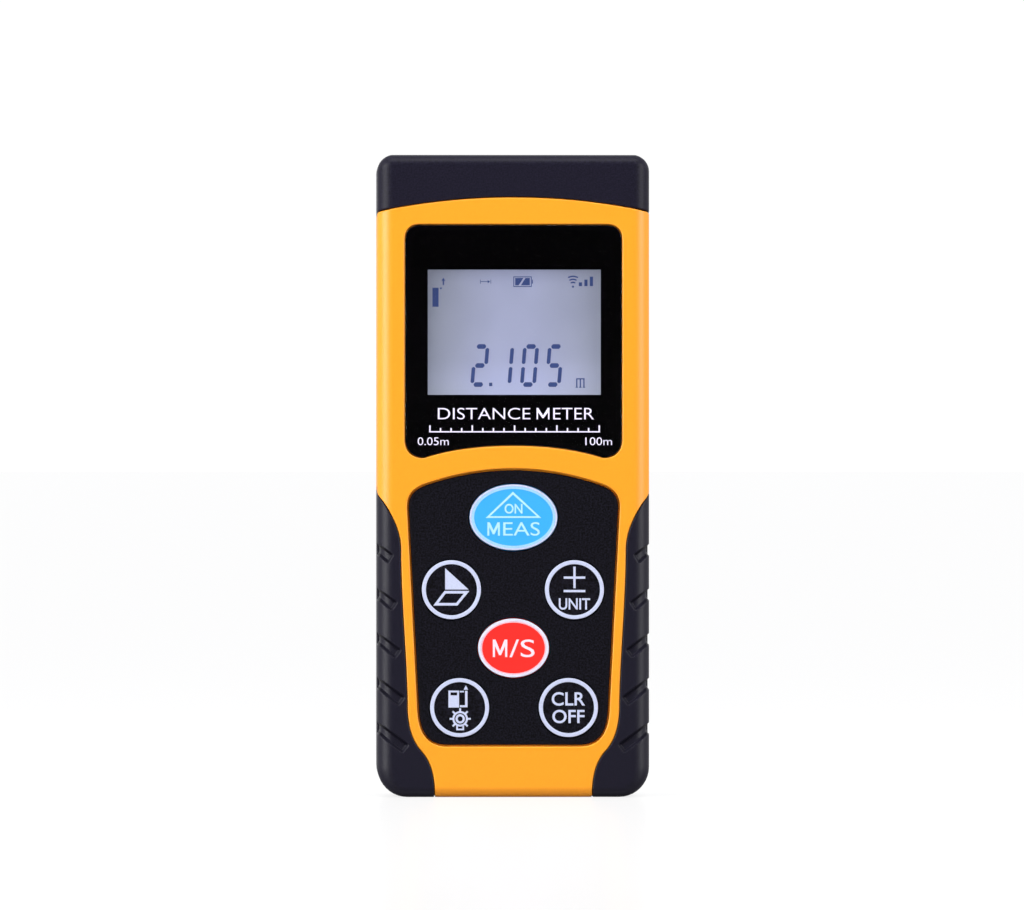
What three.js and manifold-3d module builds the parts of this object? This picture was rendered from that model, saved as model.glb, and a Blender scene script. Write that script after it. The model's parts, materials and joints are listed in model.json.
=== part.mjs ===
// A handheld laser distance meter, standing on its lower end.
//
// Millimetres, +Z up. The display and the keys face -Y, the battery bay opens towards +Y, and the
// laser leaves through the nose at +Z. The origin is the centre of the lower end.
// Outlines on the front and back faces are drawn in (x, z), outlines on the sides in (y, z), and
// outlines seen from above in (x, y).

import * as THREE from "three";
import { mergeVertices } from "three/addons/utils/BufferGeometryUtils.js";
import Module from "manifold-3d";

const wasm = await Module();
wasm.setup();

// ---------------------------------------------------------------- driving dimensions

const WIDTH = 50;
const DEPTH = 27;
const HEIGHT = 118;
const HALF_WIDTH = WIDTH / 2;
const HALF_DEPTH = DEPTH / 2;
const EDGE_RADIUS = 3; // long edges, seen from above
const END_EDGE_RADIUS = 2; // front and back edges of both ends
const NOSE_CORNER_RADIUS = 3;
const BASE_CORNER_RADIUS = 5.5;

const WALL = 2.4;
const SEAM = 0.2; // visible gap between two pieces of the case
const GRIP_THICKNESS = 1.2;
const CAP_WALL = 1.2;
const LIP_HEIGHT = 3; // how far the case tucks up inside the nose cap
const FIT = 0.15; // clearance all round a piece that is dropped into a pocket
const OVERLAP = 0.5; // how far one solid runs into another that it is joined to

// The boundary between nose cap and case is an arch, crowned on the front and dipping on the sides.
const CAP_CROWN_Z = 110.2;
const CAP_ARCH_RADIUS = 120;
const CAP_SIDE_Z = 106.6;
const CAP_SIDE_RADIUS = 70;

// Where a grip's inner edge turns, from its foot up to its pointed upper end.
const GRIP_FOOT = { x: 14.5, z: 1.5 };
const GRIP_KNEE = { x: 17, z: 8.55 };
const GRIP_CALF = { x: 19.5, z: 16.5 };
const GRIP_SHOULDER = { x: 20.7, z: 45.5 };
const GRIP_TIP = { x: 24.9, z: 55.4 };

// The grips' upper edge runs over the sides as a shallow arch.
const GRIP_SIDE_TOP_Z = 56.8;
const GRIP_SIDE_RADIUS = 60;
const SIDE_FACE_X = 24.4; // beyond this, the side outlines take over from the front ones

const NOTCH_COUNT = 5;
const NOTCH_TOP_Z = 45.5;
const NOTCH_PITCH = 8.2;
const NOTCH_DEPTH = 0.5;
const NOTCH_HALF_WIDTH = 1;
const NOTCH_SLOPE = 0.63; // radians below the horizontal, on the front face
const NOTCH_BACK_Y = -2.2;
const NOTCH_FIRST_LENGTH = 2.1;
const NOTCH_LENGTH_STEP = 0.85; // each notch reaches further in than the one above it

const WINDOW_HALF_WIDTH = 19.85;
const WINDOW_TOP_Z = 105.1;
const WINDOW_LOW_Z = 62.4;
const WINDOW_ARCH_Z = 64.65;
const WINDOW_CORNER = 3;
const WINDOW_HEEL = 3.5; // size of the soft lower corners
const WINDOW_THICKNESS = 1.2;
const WINDOW_POCKET_Y = -12.1;
const VIEW_HALF_WIDTH = 16;
const VIEW_LOW_Z = 73.8;
const VIEW_TOP_Z = 97.1;
const VIEW_MARGIN = 0.4; // how much larger the opening in the case is

const PANEL_CROWN_Z = 60.2;
const PANEL_LOW_Z = 9.45;
const PANEL_SHOULDER = { x: 15.6, z: 57.6 };
const PANEL_HIGH = { x: 19.4, z: 53 }; // widest, below the shoulder
const PANEL_NARROW = { x: 17.5, z: 15.6 }; // where the leaning side ends
const PANEL_BASE_HALF_WIDTH = 12.2;
const PANEL_FACE_Y = -13.1;
const PANEL_BACK_Y = -12.4;
const PANEL_POCKET_Y = -12.3;

const KEY_FACE_Y = -13.3;
const KEY_TRAVEL = 0.5;
const KEY_GAP = 0.2;
const KEY_FLANGE = 0.8;
const POST_RADIUS = 1.6;
const SWITCH_TOP_Y = -7.9;
const SWITCH_HALF_WIDTH = 2.3;
const MAT_FRONT_Y = -9.4;
const MAT_THICKNESS = 0.6;

const BOARD_FRONT_Y = -7;
const BOARD_BACK_Y = -5.4;
const BOARD_HALF_WIDTH = 21;
const BOARD_NARROW_HALF_WIDTH = 18.2; // beside the display
const BOARD_LOW_Z = 9.4;
const BOARD_STEP_Z = 67;
const BOARD_TOP_Z = 101.2;
const ON_BOARD = 0.1; // gap between a part and the board it is soldered to

const LCD_HALF_WIDTH = 17.2;
const LCD_FRONT_Y = -10.9;
const LCD_BACK_Y = -8.9;
const LCD_LOW_Z = 71;
const LCD_TOP_Z = 99.6;
const LCD_FRAME_WALL = 0.7;
const LCD_CONNECTOR_TOP_Z = 73.1;
const LCD_GAP = 0.2; // between the display and what lies behind it or round it

const LABEL = { halfWidth: 16, low: 73, top: 101, corner: 1.9 };

const CELL_RADIUS = 5.25;
const CELL_LENGTH = 44.5;
const CELL_NUB_RADIUS = 1.9;
const CELL_NUB_LENGTH = 1;
const CELL_X = 5.55;
const CELL_Y = 5.75;
const LEFT_CELL_Z = 17.5; // stands on its spring, nub up
const RIGHT_CELL_Z = 13.4; // hangs under its spring, nub down
const CONTACT_OUTER_X = 10.6;
const CONTACT_INNER_X = 0.6;
const CONTACT_LOW_Z = 12.6;
const CONTACT_TOP_Z = 62.4;
const BAY_HALF_WIDTH = 11.3;
const BAY_LOW_Z = 12.4;
const BAY_TOP_Z = 63;
const BAY_FLOOR_Y = 0.2;
const BAY_WALL = 1.2;

const DOOR_HALF_WIDTH = 12.8;
const DOOR_LOW_Z = 11.4;
const DOOR_TOP_Z = 64;
const DOOR_INNER_Y = 11.9;
const DOOR_CORNER_RADIUS = 2;
const HOOK_X = 7;
const HOOK_HALF_WIDTH = 1.6;
const HOOK_ARM = 1.3;
const HOOK_LOW_Z = 10.3;
const HOOK_INNER_Y = 9.9;
const HOOK_THICKNESS = 1;
const HOOK_ROOM_LOW_Z = 9.4;
const TONGUE_SLIT_X = 4.6;
const TONGUE_SLIT_HALF_WIDTH = 0.3;
const TONGUE_LENGTH = 7.5;
const TONGUE_RIB = { halfWidth: 3, y: 10.7, low: 61.3, top: 62.6 };
const THUMB_RIDGE_COUNT = 3;
const THUMB_RIDGE_PITCH = 1.5;
const THUMB_RIDGE_HALF_WIDTH = 3.4;
const THUMB_RIDGE_HALF_HEIGHT = 0.35;
const SCOOP_RADIUS = 5.5;
const SCOOP_HALF_WIDTH = 5;
const SCOOP_Z = 65.5;
const SCOOP_DEPTH = 1;

const CASE_SCREW_X = 19.5;
const CASE_SCREW_HIGH_Z = 104;
const CASE_SCREW_LOW_Z = 6;
const CASE_SCREW_SEAT_Y = 6;
const SCREW_WELL_RADIUS = 2.3;
const BOARD_BOSS_RADIUS = 1.9;
const PILOT_RADIUS = 0.85; // hole that a small screw bites into
const SEATING = 0.2; // gap between a screw's head and its seat, or a boss and the part on it

const OPTICS_Y = 1;
const RECEIVER_X = -7.6;
const LASER_X = 9.5;
const LENS_RADIUS = 6.4;
const LENS_LOW_Z = 109.2;
const LENS_EDGE = 1.6;
const LENS_DOME = 2.1;
const CHASSIS_HALF_WIDTH = 15.6;
const CHASSIS_LOW_Z = 74.4;
const CHASSIS_TOP_Z = 113;
const CHASSIS_STEP_Z = 102; // the block is deeper above this
const CHASSIS_FRONT_Y = -4.8;
const CHASSIS_HALF_DEPTH = 7.4;
const CHASSIS_EAR = { halfWidth: 22.2, halfHeight: 2.4, thickness: 2 };
const LASER_BARREL_LOW_Z = 88.2;
const LASER_BARREL_RADIUS = 3.6;
const LASER_BORE_RADIUS = 2.9;
const PHOTODIODE_RADIUS = 2.35;
const SENSOR_BOARD_TOP_Z = 74;
const RECEIVER_EYE_RADIUS = 6.3;
const LASER_EYE_RADIUS = 2.6;
const OPTICS_WINDOW = { halfWidth: 16.5, halfDepth: 7, corner: 6.9, thickness: 0.95 };
const OPTICS_WINDOW_SINK = 0.15; // how far it lies below the nose
const OPTICS_SCREW_X = 20.9;
const OPTICS_SCREW_Z = 88;

// Each key: its name, centre and half sizes on the front face.
const SMALL_KEY = { halfWidth: 5.42, halfHeight: 5.42, look: "black" };
const KEYS = [
  { name: "key_measure", x: 0, z: 51.4, halfWidth: 8.05, halfHeight: 6.05, look: "blue" },
  { name: "key_area", x: -11.4, z: 38.1, ...SMALL_KEY },
  { name: "key_unit", x: 11.2, z: 38.1, ...SMALL_KEY },
  { name: "key_memory", x: 0, z: 27.4, halfWidth: 6.5, halfHeight: 5.4, look: "red" },
  { name: "key_reference", x: -9.9, z: 16.45, ...SMALL_KEY },
  { name: "key_clear", x: 10.1, z: 16.45, ...SMALL_KEY },
];

const BOARD_SCREWS = [
  { x: -15, z: 64.5 },
  { x: 15, z: 64.5 },
  { x: 0, z: 13.6 },
];

// ---------------------------------------------------------------- materials

function finish(color, roughness, metalness = 0) {
  return new THREE.MeshStandardMaterial({ color, roughness, metalness });
}

const looks = {
  orange: finish(0xfca62c, 0.38),
  cap: finish(0x24222c, 0.55),
  rubber: finish(0x2b2a35, 0.75),
  panel: finish(0x17161d, 0.6),
  window: finish(0x050406, 0.08),
  blue: finish(0x3fa9f0, 0.45),
  red: finish(0xe8323a, 0.45),
  black: finish(0x17161d, 0.6),
  silicone: finish(0x5a5c60, 0.8),
  board: finish(0x1d5a38, 0.5),
  chip: finish(0x1a1a1c, 0.45),
  display: finish(0xa2a8c6, 0.25),
  frame: finish(0xd9d9d2, 0.6),
  casting: finish(0x8f9196, 0.5, 0.8),
  glass: finish(0x7d5a78, 0.05),
  brass: finish(0xb08d3c, 0.3, 1),
  steel: finish(0xb4b6ba, 0.3, 1),
  cell: finish(0x3b5a8c, 0.35, 0.4),
  foam: finish(0x2a2a2a, 0.95),
  label: finish(0xc9ccd1, 0.4, 0.3),
  ribbon: finish(0xc07a2c, 0.4),
};

// ---------------------------------------------------------------- solids

const X_AXIS = new THREE.Vector3(1, 0, 0);
const Y_AXIS = new THREE.Vector3(0, 1, 0);
const Z_AXIS = new THREE.Vector3(0, 0, 1);
const SIDE_VIEW = new THREE.Matrix4().makeBasis(Y_AXIS, Z_AXIS, X_AXIS);

// A closed geometry as a solid that can be joined and cut.
function solid(geometry) {
  geometry.deleteAttribute("normal");
  geometry.deleteAttribute("uv");
  const merged = mergeVertices(geometry, 1e-4);
  return new wasm.Manifold(
    new wasm.Mesh({
      numProp: 3,
      vertProperties: new Float32Array(merged.attributes.position.array),
      triVerts: new Uint32Array(merged.index.array),
    }),
  );
}

function extruded(outline, depth, arcSteps) {
  return new THREE.ExtrudeGeometry(outline, { depth, bevelEnabled: false, curveSegments: arcSteps });
}

// An (x, z) outline carried from y0 to y1.
function prismY(outline, y0, y1, arcSteps = 2) {
  const geometry = extruded(outline, y1 - y0, arcSteps);
  geometry.rotateX(Math.PI / 2);
  geometry.translate(0, y1, 0);
  return solid(geometry);
}

// A (y, z) outline carried from x0 to x1.
function prismX(outline, x0, x1, arcSteps = 2) {
  const geometry = extruded(outline, x1 - x0, arcSteps);
  geometry.applyMatrix4(SIDE_VIEW);
  geometry.translate(x0, 0, 0);
  return solid(geometry);
}

// An (x, y) outline carried from z0 to z1.
function prismZ(outline, z0, z1, arcSteps = 2) {
  const geometry = extruded(outline, z1 - z0, arcSteps);
  geometry.translate(0, 0, z0);
  return solid(geometry);
}

function block(x0, x1, y0, y1, z0, z1) {
  const geometry = new THREE.BoxGeometry(x1 - x0, y1 - y0, z1 - z0);
  geometry.translate((x0 + x1) / 2, (y0 + y1) / 2, (z0 + z1) / 2);
  return solid(geometry);
}

// A round bar along Y.
function rodY(x, z, radius, y0, y1, sides = 20) {
  const geometry = new THREE.CylinderGeometry(radius, radius, y1 - y0, sides);
  geometry.translate(x, (y0 + y1) / 2, z);
  return solid(geometry);
}

// A round bar along Z, which may taper from the low end to the high one.
function rodZ(x, y, lowRadius, z0, z1, highRadius = lowRadius, sides = 24) {
  const geometry = new THREE.CylinderGeometry(highRadius, lowRadius, z1 - z0, sides);
  geometry.rotateX(Math.PI / 2);
  geometry.translate(x, y, (z0 + z1) / 2);
  return solid(geometry);
}

function joined(first, ...others) {
  return others.reduce((whole, piece) => whole.add(piece), first);
}

function cut(first, ...others) {
  return others.reduce((whole, piece) => whole.subtract(piece), first);
}

// ---------------------------------------------------------------- outlines

function roundedOutline(x0, x1, y0, y1, lowRadius, highRadius = lowRadius) {
  const outline = new THREE.Shape();
  outline.absarc(x0 + lowRadius, y0 + lowRadius, lowRadius, Math.PI, 1.5 * Math.PI);
  outline.absarc(x1 - lowRadius, y0 + lowRadius, lowRadius, 1.5 * Math.PI, 2 * Math.PI);
  outline.absarc(x1 - highRadius, y1 - highRadius, highRadius, 0, 0.5 * Math.PI);
  outline.absarc(x0 + highRadius, y1 - highRadius, highRadius, 0.5 * Math.PI, Math.PI);
  return outline;
}

function ellipseOutline(x, z, halfWidth, halfHeight) {
  const outline = new THREE.Shape();
  outline.absellipse(x, z, halfWidth, halfHeight, 0, 2 * Math.PI);
  return outline;
}

function polygon(points) {
  return new THREE.Shape(points.map(([x, y]) => new THREE.Vector2(x, y)));
}

// The display window: rounded above, with a lower edge that arches up over the keypad.
function windowOutline(grow) {
  const half = WINDOW_HALF_WIDTH + grow;
  const top = WINDOW_TOP_Z + grow;
  const low = WINDOW_LOW_Z - grow;
  const arch = WINDOW_ARCH_Z - grow;
  const heel = WINDOW_HEEL;
  const archStart = half - 3 * heel;
  const outline = new THREE.Shape();
  outline.moveTo(-half, top - WINDOW_CORNER);
  outline.quadraticCurveTo(-half, top, -half + WINDOW_CORNER, top);
  outline.lineTo(half - WINDOW_CORNER, top);
  outline.quadraticCurveTo(half, top, half, top - WINDOW_CORNER);
  outline.lineTo(half, low + heel);
  outline.bezierCurveTo(half, low + heel / 4, half - heel / 2, low, half - heel, low);
  outline.quadraticCurveTo(archStart, arch, 0, arch);
  outline.quadraticCurveTo(-archStart, arch, -half + heel, low);
  outline.bezierCurveTo(-half + heel / 2, low, -half, low + heel / 4, -half, low + heel);
  return outline;
}

// The keypad: an arched top, sides that lean in towards the base, and round lower corners.
function panelOutline(grow) {
  const crown = PANEL_CROWN_Z + grow;
  const low = PANEL_LOW_Z - grow;
  const shoulder = { x: PANEL_SHOULDER.x, z: PANEL_SHOULDER.z + grow };
  const high = PANEL_HIGH.x + grow;
  const narrow = PANEL_NARROW.x + grow;
  const bend = (shoulder.x + high) / 2 + 0.7;
  const bendZ = shoulder.z - 0.8;
  const heel = { x: PANEL_BASE_HALF_WIDTH + 3.2 + grow, z: PANEL_NARROW.z - 4.2 };
  const outline = new THREE.Shape();
  outline.moveTo(-high, PANEL_HIGH.z);
  outline.bezierCurveTo(-high - 0.1, bendZ - 1.2, -bend, bendZ, -shoulder.x, shoulder.z);
  outline.quadraticCurveTo(-shoulder.x / 2, crown, 0, crown);
  outline.quadraticCurveTo(shoulder.x / 2, crown, shoulder.x, shoulder.z);
  outline.bezierCurveTo(bend, bendZ, high + 0.1, bendZ - 1.2, high, PANEL_HIGH.z);
  outline.lineTo(narrow, PANEL_NARROW.z);
  outline.bezierCurveTo(narrow - 0.3, heel.z, heel.x, low, PANEL_BASE_HALF_WIDTH, low);
  outline.lineTo(-PANEL_BASE_HALF_WIDTH, low);
  outline.bezierCurveTo(-heel.x, low, -narrow + 0.3, heel.z, -narrow, PANEL_NARROW.z);
  return outline;
}

// One grip on the front or back face. side is -1 on the left and 1 on the right.
function gripOutline(side, grow) {
  const x = (value) => side * (value - grow);
  const outer = side * (HALF_WIDTH + 3);
  const outline = new THREE.Shape();
  outline.moveTo(outer, -1);
  outline.lineTo(x(GRIP_FOOT.x), -1);
  outline.lineTo(x(GRIP_FOOT.x), GRIP_FOOT.z);
  outline.quadraticCurveTo(x(14.7), 6.1, x(GRIP_KNEE.x), GRIP_KNEE.z);
  outline.quadraticCurveTo(x(19.4), 11.2, x(GRIP_CALF.x), GRIP_CALF.z);
  outline.bezierCurveTo(x(GRIP_CALF.x), 24, x(GRIP_SHOULDER.x), 36, x(GRIP_SHOULDER.x), GRIP_SHOULDER.z);
  outline.quadraticCurveTo(x(GRIP_SHOULDER.x), 50.2 + grow, x(GRIP_TIP.x), GRIP_TIP.z + grow);
  outline.lineTo(outer, GRIP_TIP.z + 3.8 + grow);
  return outline;
}

// ---------------------------------------------------------------- regions of the case

// The whole case as one solid, with every face moved in by inset.
function bodySolid(inset) {
  const side = HALF_WIDTH - inset;
  const face = HALF_DEPTH - inset;
  const top = HEIGHT - inset;
  const baseCorner = BASE_CORNER_RADIUS - inset;
  const noseCorner = Math.max(NOSE_CORNER_RADIUS - inset, 0.6);
  const edge = Math.max(EDGE_RADIUS - inset, 0.6);
  const endEdge = Math.max(END_EDGE_RADIUS - inset, 0.4);
  const fromFront = roundedOutline(-side, side, inset, top, baseCorner, noseCorner);
  const fromAbove = roundedOutline(-side, side, -face, face, edge);
  const fromSide = roundedOutline(-face, face, inset, top, endEdge);
  return prismY(fromFront, -HALF_DEPTH - 1, HALF_DEPTH + 1)
    .intersect(prismZ(fromAbove, -1, HEIGHT + 1))
    .intersect(prismX(fromSide, -HALF_WIDTH - 1, HALF_WIDTH + 1));
}

// Everything above the arched seam of the nose cap, with the seam raised by lift.
function aboveCapSeam(lift) {
  const reach = HALF_WIDTH + 2;
  const lean = Math.asin(reach / CAP_ARCH_RADIUS);
  const front = new THREE.Shape();
  front.absarc(
    0,
    CAP_CROWN_Z - CAP_ARCH_RADIUS + lift,
    CAP_ARCH_RADIUS,
    Math.PI / 2 + lean,
    Math.PI / 2 - lean,
    true,
  );
  front.lineTo(reach, HEIGHT + 5);
  front.lineTo(-reach, HEIGHT + 5);

  const sideReach = HALF_DEPTH + 1;
  const sideLean = Math.asin(sideReach / CAP_SIDE_RADIUS);
  const side = new THREE.Shape();
  side.absarc(
    0,
    CAP_SIDE_Z + CAP_SIDE_RADIUS + lift,
    CAP_SIDE_RADIUS,
    1.5 * Math.PI - sideLean,
    1.5 * Math.PI + sideLean,
  );
  side.lineTo(sideReach, HEIGHT + 5);
  side.lineTo(-sideReach, HEIGHT + 5);

  return joined(
    prismY(front, -sideReach, sideReach, 6),
    prismX(side, SIDE_FACE_X, reach, 3),
    prismX(side, -reach, -SIDE_FACE_X, 3),
  );
}

// The stretch of one side that its grips cover, from the front face round to the back.
function gripRegion(side, grow) {
  const reach = HALF_DEPTH + 1;
  const radius = GRIP_SIDE_RADIUS + grow;
  const centreZ = GRIP_SIDE_TOP_Z - GRIP_SIDE_RADIUS;
  const lean = Math.asin(reach / radius);
  const arch = new THREE.Shape();
  arch.moveTo(-reach, -1);
  arch.absarc(0, centreZ, radius, Math.PI / 2 + lean, Math.PI / 2 - lean, true);
  arch.lineTo(reach, -1);
  const inner = side * SIDE_FACE_X;
  const outer = side * (HALF_WIDTH + 3);
  return joined(
    prismY(gripOutline(side, grow), -reach, reach, 4),
    prismX(arch, Math.min(inner, outer), Math.max(inner, outer), 3),
  );
}

// The oblique finger notches of one front grip, as the solid that is cut away.
function notches(side) {
  const along = { x: -Math.cos(NOTCH_SLOPE), z: -Math.sin(NOTCH_SLOPE) };
  const across = { x: -along.z * NOTCH_HALF_WIDTH, z: along.x * NOTCH_HALF_WIDTH };
  const pieces = [];
  for (let i = 0; i < NOTCH_COUNT; i += 1) {
    const z = NOTCH_TOP_Z - i * NOTCH_PITCH;
    const length = NOTCH_FIRST_LENGTH + NOTCH_LENGTH_STEP * i;
    const start = { x: HALF_WIDTH - along.x, z: z - along.z };
    const end = { x: HALF_WIDTH + along.x * length, z: z + along.z * length };
    const slot = polygon([
      [side * (start.x + across.x), start.z + across.z],
      [side * (end.x + across.x), end.z + across.z],
      [side * (end.x - across.x), end.z - across.z],
      [side * (start.x - across.x), start.z - across.z],
    ]);
    const sideSlot = roundedOutline(
      -HALF_DEPTH - 1,
      NOTCH_BACK_Y,
      z - NOTCH_HALF_WIDTH,
      z + NOTCH_HALF_WIDTH,
      0.4,
    );
    const inner = side * (HALF_WIDTH - 1);
    const outer = side * (HALF_WIDTH + 1);
    pieces.push(prismY(slot, -HALF_DEPTH - 1, -HALF_DEPTH + EDGE_RADIUS));
    pieces.push(prismX(sideSlot, Math.min(inner, outer), Math.max(inner, outer)));
  }
  return joined(...pieces).subtract(bodySolid(NOTCH_DEPTH));
}

const wholeBody = bodySolid(0);
const cavity = bodySolid(WALL);
const underGrip = bodySolid(GRIP_THICKNESS + SEAM);
const FRONT_HALF = block(-40, 40, -30, -SEAM / 2, -10, HEIGHT + 10);
const REAR_HALF = block(-40, 40, SEAM / 2, 30, -10, HEIGHT + 10);

// One half of the case: its walls below the nose cap, the lip inside the cap, and thinner walls
// where the grips lie.
function caseHalf(half) {
  const walls = wholeBody.subtract(cavity).subtract(aboveCapSeam(-SEAM / 2));
  const lip = underGrip
    .subtract(cavity)
    .intersect(aboveCapSeam(-1))
    .subtract(aboveCapSeam(LIP_HEIGHT));
  return cut(
    joined(walls, lip),
    gripRegion(-1, SEAM / 2).subtract(underGrip),
    gripRegion(1, SEAM / 2).subtract(underGrip),
  ).intersect(half);
}

// ---------------------------------------------------------------- the case

function caseScrewPlaces() {
  const places = [];
  for (const z of [CASE_SCREW_HIGH_Z, CASE_SCREW_LOW_Z]) {
    for (const side of [-1, 1]) places.push({ x: side * CASE_SCREW_X, z });
  }
  return places;
}

function opticsScrewPlaces() {
  return [-1, 1].map((side) => ({ x: side * OPTICS_SCREW_X, z: OPTICS_SCREW_Z }));
}

function frontShell() {
  const inside = -HALF_DEPTH + WALL;
  const bosses = [
    ...caseScrewPlaces().map((place) => ({ ...place, radius: 2.4, pilot: 0.95, end: -0.4 })),
    ...BOARD_SCREWS.map((place) => ({
      ...place,
      radius: BOARD_BOSS_RADIUS,
      pilot: PILOT_RADIUS,
      end: BOARD_FRONT_Y - SEATING,
    })),
    ...opticsScrewPlaces().map((place) => ({
      ...place,
      radius: BOARD_BOSS_RADIUS,
      pilot: PILOT_RADIUS,
      end: CHASSIS_FRONT_Y - SEATING,
    })),
  ];
  let shell = caseHalf(FRONT_HALF);
  for (const { x, z, radius, pilot, end } of bosses) {
    shell = shell
      .add(rodY(x, z, radius, inside - OVERLAP, end, 16))
      .subtract(rodY(x, z, pilot, inside + 0.7, end + 1, 10));
  }
  const view = roundedOutline(
    -VIEW_HALF_WIDTH - VIEW_MARGIN,
    VIEW_HALF_WIDTH + VIEW_MARGIN,
    VIEW_LOW_Z - VIEW_MARGIN,
    VIEW_TOP_Z + VIEW_MARGIN,
    0.5,
  );
  const outside = -HALF_DEPTH - 1;
  const within = inside + 0.6;
  return cut(
    shell,
    prismY(windowOutline(FIT), outside, WINDOW_POCKET_Y, 5),
    prismY(view, outside, within, 2),
    prismY(panelOutline(FIT), outside, PANEL_POCKET_Y, 5),
    ...KEYS.map((key) => keyBar(key, KEY_GAP + 0.1, outside, within)),
  );
}

function rearShell() {
  const inside = HALF_DEPTH - WALL;
  const outside = HALF_DEPTH + 1;
  const bayOuter = BAY_HALF_WIDTH + BAY_WALL;
  const bayLow = BAY_LOW_Z - BAY_WALL;
  const bayTop = BAY_TOP_Z + BAY_WALL;
  const bay = block(-bayOuter, bayOuter, BAY_FLOOR_Y - BAY_WALL, inside + OVERLAP, bayLow, bayTop);
  let shell = joined(caseHalf(REAR_HALF), bay);
  for (const { x, z } of caseScrewPlaces()) {
    shell = shell
      .add(rodY(x, z, SCREW_WELL_RADIUS + 0.6, SEAM / 2, inside + OVERLAP, 18))
      .subtract(rodY(x, z, 1.2, -1, CASE_SCREW_SEAT_Y + 1, 12))
      .subtract(rodY(x, z, SCREW_WELL_RADIUS, CASE_SCREW_SEAT_Y, outside, 18));
  }
  const doorRecess = roundedOutline(
    -DOOR_HALF_WIDTH - SEAM,
    DOOR_HALF_WIDTH + SEAM,
    DOOR_LOW_Z - SEAM,
    DOOR_TOP_Z + SEAM,
    DOOR_CORNER_RADIUS + SEAM / 2,
  );
  const thumbScoop = new THREE.CylinderGeometry(SCOOP_RADIUS, SCOOP_RADIUS, 2 * SCOOP_HALF_WIDTH, 24);
  thumbScoop.rotateZ(Math.PI / 2);
  thumbScoop.translate(0, HALF_DEPTH + SCOOP_RADIUS - SCOOP_DEPTH, SCOOP_Z);
  const hookSlots = [-1, 1].map((side) => {
    const centre = side * HOOK_X;
    const half = HOOK_HALF_WIDTH + 0.4;
    const y0 = HOOK_INNER_Y - 0.9;
    const y1 = DOOR_INNER_Y - SEAM;
    return block(centre - half, centre + half, y0, y1, HOOK_ROOM_LOW_Z, BAY_LOW_Z + OVERLAP);
  });
  return cut(
    shell,
    block(-BAY_HALF_WIDTH, BAY_HALF_WIDTH, BAY_FLOOR_Y, outside, BAY_LOW_Z, BAY_TOP_Z),
    prismY(doorRecess, DOOR_INNER_Y - SEAM, outside),
    prismY(labelOutline(0.2), HALF_DEPTH - 0.4, outside),
    solid(thumbScoop),
    ...hookSlots,
  );
}

function noseCap() {
  const overLip = bodySolid(CAP_WALL).subtract(aboveCapSeam(LIP_HEIGHT + 0.3));
  const pocketFloor = HEIGHT - OPTICS_WINDOW_SINK - OPTICS_WINDOW.thickness - 0.1;
  const under = HEIGHT - WALL - 1;
  return cut(
    wholeBody.intersect(aboveCapSeam(SEAM / 2)),
    cavity,
    overLip,
    prismZ(opticsWindowOutline(0.2), pocketFloor, HEIGHT + 1, 6),
    rodZ(RECEIVER_X, OPTICS_Y, RECEIVER_EYE_RADIUS, under, HEIGHT + 1),
    rodZ(LASER_X, OPTICS_Y, LASER_EYE_RADIUS, under, HEIGHT + 1, LASER_EYE_RADIUS, 16),
  );
}

function opticsWindowOutline(grow) {
  const across = OPTICS_WINDOW.halfWidth + grow;
  const deep = OPTICS_WINDOW.halfDepth + grow;
  const corner = OPTICS_WINDOW.corner + grow;
  return roundedOutline(-across, across, OPTICS_Y - deep, OPTICS_Y + deep, corner);
}

function opticsWindow() {
  const top = HEIGHT - OPTICS_WINDOW_SINK;
  return prismZ(opticsWindowOutline(0), top - OPTICS_WINDOW.thickness, top, 6);
}

function grip(side, half) {
  const skin = wholeBody.subtract(bodySolid(GRIP_THICKNESS));
  const holeRadius = SCREW_WELL_RADIUS + 0.1;
  const screwHoles = caseScrewPlaces().map(({ x, z }) => rodY(x, z, holeRadius, 3, 20, 18));
  const blank = skin.intersect(gripRegion(side, -SEAM / 2)).intersect(half);
  return half === FRONT_HALF ? blank.subtract(notches(side)) : cut(blank, ...screwHoles);
}

function displayWindow() {
  const face = -HALF_DEPTH + 0.05;
  return prismY(windowOutline(0), face, face + WINDOW_THICKNESS, 5);
}

function labelOutline(grow) {
  const half = LABEL.halfWidth + grow;
  return roundedOutline(-half, half, LABEL.low - grow, LABEL.top + grow, LABEL.corner);
}

function rearLabel() {
  return prismY(labelOutline(0), HALF_DEPTH - 0.35, HALF_DEPTH - 0.05, 2);
}

// ---------------------------------------------------------------- the keypad

// A bar with a key's outline, grown all round.
function keyBar(key, grow, y0, y1) {
  const outline = ellipseOutline(key.x, key.z, key.halfWidth + grow, key.halfHeight + grow);
  return prismY(outline, y0, y1, 12);
}

function keypadPanel() {
  const plate = prismY(panelOutline(0), PANEL_FACE_Y, PANEL_BACK_Y, 5);
  return cut(plate, ...KEYS.map((key) => keyBar(key, KEY_GAP, -20, 0)));
}

// A key: the cap that shows, a flange that holds it behind the case wall, and the post that
// works its switch.
function keySolid(key) {
  const flangeY = -HALF_DEPTH + WALL + SEAM;
  const postEnd = SWITCH_TOP_Y - KEY_TRAVEL - 0.1;
  return joined(
    keyBar(key, 0, KEY_FACE_Y, flangeY + 0.3),
    keyBar(key, KEY_FLANGE, flangeY, flangeY + 0.7),
    rodY(key.x, key.z, POST_RADIUS, flangeY + 0.5, postEnd, 14),
  );
}

function keyMat() {
  const outline = roundedOutline(-18.4, 18.4, 9.6, 59, 2);
  const boss = BOARD_SCREWS[2];
  return cut(
    prismY(outline, MAT_FRONT_Y, MAT_FRONT_Y + MAT_THICKNESS),
    ...KEYS.map((key) => rodY(key.x, key.z, POST_RADIUS + 0.4, -12, 0, 14)),
    rodY(boss.x, boss.z, BOARD_BOSS_RADIUS + 0.4, -12, 0, 14),
  );
}

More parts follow.
